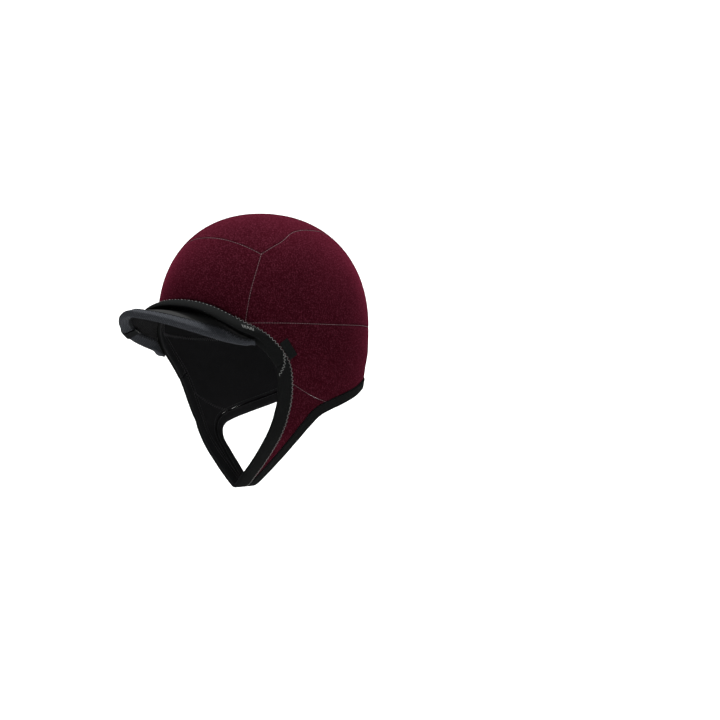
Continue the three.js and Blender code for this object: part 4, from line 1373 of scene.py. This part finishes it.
@dataclass
class Stitching(Part):
    """Every row of thread on the cap."""

    peak: Peak

    STEP = 1.5 * MM
    FINENESS = 8
    # Heights of the threads above the form, and places across a band, 1 on the panels' line
    TOP_LIFT = 0.1 * MM
    SEAM_HEIGHT = -0.28 * MM
    INSIDE_HEIGHT = -CLOTH_WALL - TOP_LIFT
    EDGE_HEIGHT = 0.62 * MM
    EDGE_SHARE = 1.02
    FACE_ROWS = (0.86, 1.16)
    NECK_ROWS = (0.8, 1.25)
    # How far a thread over a band's edge leans, and the reach over which the roll's slope is read
    STEP_TILT = 0.35
    SLOPE_STEP = 0.03
    # Rows on the tape and the tag: lift, and how far inside the strip's end
    TAPE_LIFT = 0.05 * MM
    TAPE_INSET = 1.3 * MM
    TAPE_PLACE = 0.6
    TAG_INSET = 1.2 * MM

    def __post_init__(self) -> None:
        """Builds the shared tree."""
        self.tree = stitch_row()

    def sample(self, path: Path, height: float, face: Face) -> StitchLine:
        """A seam as a stitch line.

        Args:
            path: the seam.
            height: how far above the cloth's outer face it lies.
            face: the face of the cloth that shows the thread.

        Returns:
            The line with its normals.
        """
        count = max(3, round(path.length() / self.STEP))
        points = evenly(path.line, count)
        normal = self.form.normal(points)
        return StitchLine(points + normal * height, normal * face.value)

    def beside(self, edge: Array, line: Array, share: float, height: float, face: Face,
               tilt: float = 0.0) -> StitchLine:
        """A line along a band.

        Args:
            edge: the band's free edge.
            line: where the panels begin.
            share: the place between them, 1 on the line and more beyond it.
            height: how far above the form it lies.
            face: the face of the cloth that shows the thread.
            tilt: how far its normal leans towards the panels.

        Returns:
            The line with its normals.
        """
        free, seam = catmull(edge, self.FINENESS), catmull(line, self.FINENESS)
        points = self.form.settle(free + (seam - free) * share)
        normal = self.form.normal(points)
        lean = unit(seam - free) * tilt
        return StitchLine(points + normal * height, unit(normal + lean) * face.value)

    def row(self, name: str, lines: Sequence[StitchLine], kind: StitchKind, finish: Material) -> Object:
        """One piece of stitching.

        Args:
            name: the piece's name.
            lines: the lines that it follows.
            kind: its sizes.
            finish: its thread.

        Returns:
            The finished piece.
        """
        points, normals, edges, start = [], [], [], 0
        for line in lines:
            count = len(line.points)
            points.append(line.points)
            normals.append(line.normal)
            edges += [(start + k, start + k + 1) for k in range(count - 1)]
            start += count
        mesh = bpy.data.meshes.new(name)
        mesh.from_pydata(np.concatenate(points).tolist(), edges, [])
        mark = mesh.attributes.new("normal", "FLOAT_VECTOR", "POINT")
        mark.data.foreach_set("vector", np.concatenate(normals).astype(np.float32).ravel())
        thread = grow(placed(name, mesh), self.tree, {
            "Spacing": kind.spacing, "Stitch Length": kind.length, "Thread Radius": kind.radius,
            "Slant": kind.slant, "Uneven": kind.uneven, "Finish": finish})
        return settled_piece(thread, None)

    def seam_paths(self) -> list[Path]:
        """Every seam between two panels."""
        line = self.seams.lines
        paths = [line["transverse"].whole(), line["back"].whole()]
        for name in ("front_down", "top_side", "back_side", "horizontal", "rear_down", "diagonal"):
            paths += [line[name], line[name].mirror()]
        return paths

    def build(self) -> None:
        """Builds every row."""
        s, f = self.seams, self.finishes
        outer, inner = (
            [self.sample(path, height, face) for path in self.seam_paths()]
            for height, face in ((self.SEAM_HEIGHT, Face.OUTSIDE), (self.INSIDE_HEIGHT, Face.INSIDE)))
        self.row("seam_thread_outside", outer, SEAM_LINE, f.seam_thread)
        self.row("seam_flatlock_inside", inner, FLATLOCK, f.inner_thread_painted_shade)
        face = across_middle(s.face_edge), across_middle(s.face_line)
        neck = across_middle(s.neck_edge), across_middle(s.neck_line)
        middle = len(s.face_edge) - 1
        before, after = slice(middle - TEMPLE + 2), slice(middle + TEMPLE - 1, None)
        sides = [[side[part] for side in face] for part in (before, after)]
        edge = self.EDGE_SHARE, self.EDGE_HEIGHT, Face.OUTSIDE, self.STEP_TILT
        self.row("face_band_zigzag", [self.beside(*side, *edge) for side in sides],
                 BAND_ZIGZAG, f.grey_thread)
        self.row("neck_band_zigzag", [self.beside(*neck, *edge)], BAND_ZIGZAG, f.dark_thread)
        lining = [self.beside(*pair, share, self.INSIDE_HEIGHT, Face.INSIDE)
                  for pair, shares in ((face, self.FACE_ROWS), (neck, self.NECK_ROWS)) for share in shares]
        self.row("band_rows_inside", lining, RUNNING, f.inner_thread_painted_shade)
        for name, line, kind in ROLL_ROWS:
            both = [self.over_roll(np.array([side.value, 1.0, 1.0]), *line) for side in Side]
            self.row(name, both, kind, f.grey_thread)
        self.build_peak_rows()

    def over_roll(self, flip: Array, first: float, last: float, share_from: float,
                  share_to: float) -> StitchLine:
        """A line over the brow's band and its roll on one side.

        Args:
            flip: factors that turn the left half to this side.
            first: the step of the band that it starts at.
            last: the step that it ends at.
            share_from: its place across the band at the start, 1 on the panels' line.
            share_to: its place across the band at the end.

        Returns:
            The line with the normals of the roll's face.
        """
        step = np.linspace(first, last, round((last - first) * self.FINENESS) + 1)
        share = np.linspace(share_from, share_to, len(step))
        index = np.arange(len(self.seams.face_edge))
        free, seam = (along_line(step, index, side) * flip
                      for side in (self.seams.face_edge, self.seams.face_line))
        points = self.form.settle(free + (seam - free) * share[:, None])
        normal = self.form.normal(points)
        roll = brow_roll(step + JOINT)[:, None]
        near, here, far = (np.interp(share + shift, BROW_TOP[:, 0], BROW_TOP[:, 2])[:, None]
                           for shift in (-self.SLOPE_STEP, 0.0, self.SLOPE_STEP))
        slope = roll * (near - far) / (2 * self.SLOPE_STEP * FACE_BAND_WIDTH)
        leaning = unit(normal + unit(seam - free) * slope)
        return StitchLine(points + normal * (BAND_PROUD + roll * here) + leaning * self.TOP_LIFT, leaning)

    def build_peak_rows(self) -> None:
        """The zigzag along the tape on both faces of the peak, and the tag's row."""
        peak, f = self.peak, self.finishes
        height = peak.wall / 2 + peak.tape_clearance + peak.tape_thickness + self.TAPE_LIFT
        leg = peak.leg(peak.ribs, peak.tape_width)
        place = np.maximum(leg - self.TAPE_INSET, leg * self.TAPE_PLACE)
        self.row("tape_zigzag", self.both_faces(peak.ribs, place, height), TAPE_ZIGZAG, f.dark_thread)
        tag = peak.tag_ribs()
        ends = peak.leg(tag, peak.tape_width + peak.tag_overlap) - self.TAG_INSET
        height += SEAM_GAP + peak.tag_thickness
        self.row("tag_stitches", self.both_faces(tag, ends, height), RUNNING, f.grey_thread)

    def both_faces(self, ribs: Ribs, inward: Array, height: float) -> list[StitchLine]:
        """A line above the peak and one below it, the given height off the middle of its sheet."""
        return [StitchLine(self.peak.point(ribs, inward, height * face.value), ribs.up * face.value)
                for face in Face]


# Temple tab


@dataclass
class TempleTab(Part):
    """The small folded tab behind the band at the wearer's left temple."""

    length: float = 17 * MM
    width: float = 8 * MM
    thickness: float = 1.2 * MM
    standoff: float = 1 * MM
    place: float = 0.83

    # Places along the band's line, points of the tab's grid and the shape of its crown
    FINENESS = 60
    PLACES = 1000
    TANGENT_PLACES = 4
    ROWS, COLUMNS = 19, 11
    RIM_SHARE = 0.45
    END_CROWN, SIDE_CROWN = 6, 5
    FOLD_SHARE = 1.02

    def build(self) -> None:
        """Builds the tab as a crowned loop of tape lying on the cloth."""
        line = evenly(catmull(self.seams.face_line[TEMPLE:JOINT + 1], self.FINENESS), self.PLACES)
        k, near = round(self.place * self.PLACES), self.TANGENT_PLACES
        middle, along = line[k], unit(line[k + near] - line[k - near])
        side = unit(np.cross(self.form.normal(middle[None])[0], along))
        v = np.linspace(-0.5, 0.5, self.ROWS)[:, None, None]
        u = np.linspace(0, 1, self.COLUMNS)[None, :, None]
        grid = middle + along * self.length * v + side * (self.standoff + self.width * u)
        grid = self.form.settle(grid)
        normal = self.form.normal(grid)
        crown = (np.minimum(1, self.END_CROWN * (0.5 - np.abs(v))) ** 0.5
                 * np.minimum(1, self.SIDE_CROWN * (self.FOLD_SHARE - u)) ** 0.5)
        height = SEAM_GAP + self.thickness * (self.RIM_SHARE + (1 - self.RIM_SHARE) * crown)
        piece = slab_piece("temple_tab_loop", grid + normal * height, grid + normal * SEAM_GAP,
                           [self.finishes.woven])
        settled_piece(piece, "temple_tab")


# Studio


@dataclass
class Studio:
    """The pale floor and backdrop, the soft lights and the camera."""

    aim: Point = (0.0, 0.0, -0.118)
    azimuth: float = 50.0
    elevation: float = -6.0
    distance: float = 2.2
    view_width: float = 0.6336
    aside: float = 0.0841
    below: float = 0.0073
    floor_level: float = -0.5
    floor_front: float = 6.0
    floor_back: float = 3.0
    curve: float = 1.6
    curve_points: int = 24
    wall_top: float = 6.0
    half_span: float = 9.0
    sensor: float = 36.0
    daylight: float = 0.5

    # Name, place, size, power and the target, or None for the cap
    LIGHTS = (
        ("key", (0.3, -2.2, 1.6), 1.6, 22.0, None),
        ("fill", (2.4, 0.4, 0.5), 1.8, 14.0, None),
        ("overhead", (0.1, 0.0, 2.4), 1.6, 60.0, None),
        ("top", (0.05, 0.0, 0.75), 0.5, 18.0, None),
        ("paper", (-0.8, 0.7, 2.2), 2.2, 150.0, (-3.2, 2.7, 0.8)),
    )

    def backdrop(self) -> None:
        """A floor that curves up into a wall behind the cap."""
        turn = np.linspace(0, math.pi / 2, self.curve_points)
        run = np.concatenate([[-self.floor_front], self.floor_back + self.curve * np.sin(turn),
                              [self.floor_back + self.curve]])
        rise = np.concatenate([[0.0], self.curve * (1 - np.cos(turn)), [self.wall_top]])
        a = math.radians(self.azimuth)
        ahead = np.array([-math.sin(a), math.cos(a), 0])
        aside = np.array([math.cos(a), math.sin(a), 0])
        points = [ahead * distance + aside * end + np.array([0, 0, self.floor_level + height])
                  for distance, height in zip(run, rise) for end in (-self.half_span, self.half_span)]
        faces = [[2 * k, 2 * k + 1, 2 * k + 3, 2 * k + 2] for k in range(len(run) - 1)]
        mesh = bpy.data.meshes.new("pale_sweep")
        mesh.from_pydata([tuple(p) for p in points], [], faces)
        mesh.polygons.foreach_set("use_smooth", np.ones(len(faces), bool))
        material = bpy.data.materials.new("pale_paper")
        material.use_nodes = True
        paper = {"Base Color": (0.93, 0.93, 0.93, 1), "Roughness": 0.9, "Specular IOR Level": 0.1}
        for socket, value in paper.items():
            material.node_tree.nodes["Principled BSDF"].inputs[socket].default_value = value
        mesh.materials.append(material)
        sweep = placed("pale_sweep", mesh)

    def light(self, name: str, place: Point, size: float, power: float, target: Point | None) -> None:
        """One soft square light that faces the target, or the cap."""
        lamp = bpy.data.lights.new(name, "AREA")
        lamp.size, lamp.energy = size, power
        self.aimed(placed(name, lamp), Vector(place), Vector(target or self.aim))

    @staticmethod
    def aimed(holder: Object, place: Vector, target: Vector) -> None:
        """Puts a light or camera at a place and turns it to a target."""
        holder.location = place
        holder.rotation_mode = "QUATERNION"
        holder.rotation_quaternion = (target - place).to_track_quat("-Z", "Y")

    def camera(self) -> None:
        """The camera at the photograph's angle."""
        a, e = math.radians(self.azimuth), math.radians(self.elevation)
        back = Vector((math.sin(a) * math.cos(e), -math.cos(a) * math.cos(e), math.sin(e)))
        right = Vector((math.cos(a), math.sin(a), 0))
        up = back.cross(right)
        target = Vector(self.aim) + right * self.aside - up * self.below
        data = bpy.data.cameras.new("camera")
        data.sensor_width = self.sensor
        data.lens = self.sensor * self.distance / self.view_width
        holder = placed("camera", data)
        self.aimed(holder, Vector(self.aim) + back * self.distance, target)
        bpy.context.scene.camera = holder

    def build(self) -> None:
        """Sets up the stage."""
        self.backdrop()
        self.camera()
        for lamp in self.LIGHTS:
            self.light(*lamp)
        world = bpy.data.worlds.new("studio")
        world.use_nodes = True
        sky = world.node_tree.nodes["Background"].inputs
        sky[0].default_value, sky[1].default_value = (1, 1, 1, 1), self.daylight
        bpy.context.scene.world = world
        bpy.context.scene.view_settings.view_transform = "Standard"


def main() -> None:
    """Builds the cap piece by piece and then the studio."""
    logging.basicConfig(level=logging.INFO, format="%(name)s: %(message)s")
    form = HeadForm()
    seams = Seams(form)
    finishes = Finishes()
    Shell(form, seams, finishes).build()
    Bindings(form, seams, finishes).build()
    peak = Peak(form, seams, finishes)
    peak.build()
    TempleTab(form, seams, finishes).build()
    Stitching(form, seams, finishes, peak).build()
    Studio().build()


if __name__ == "__main__":
    main()
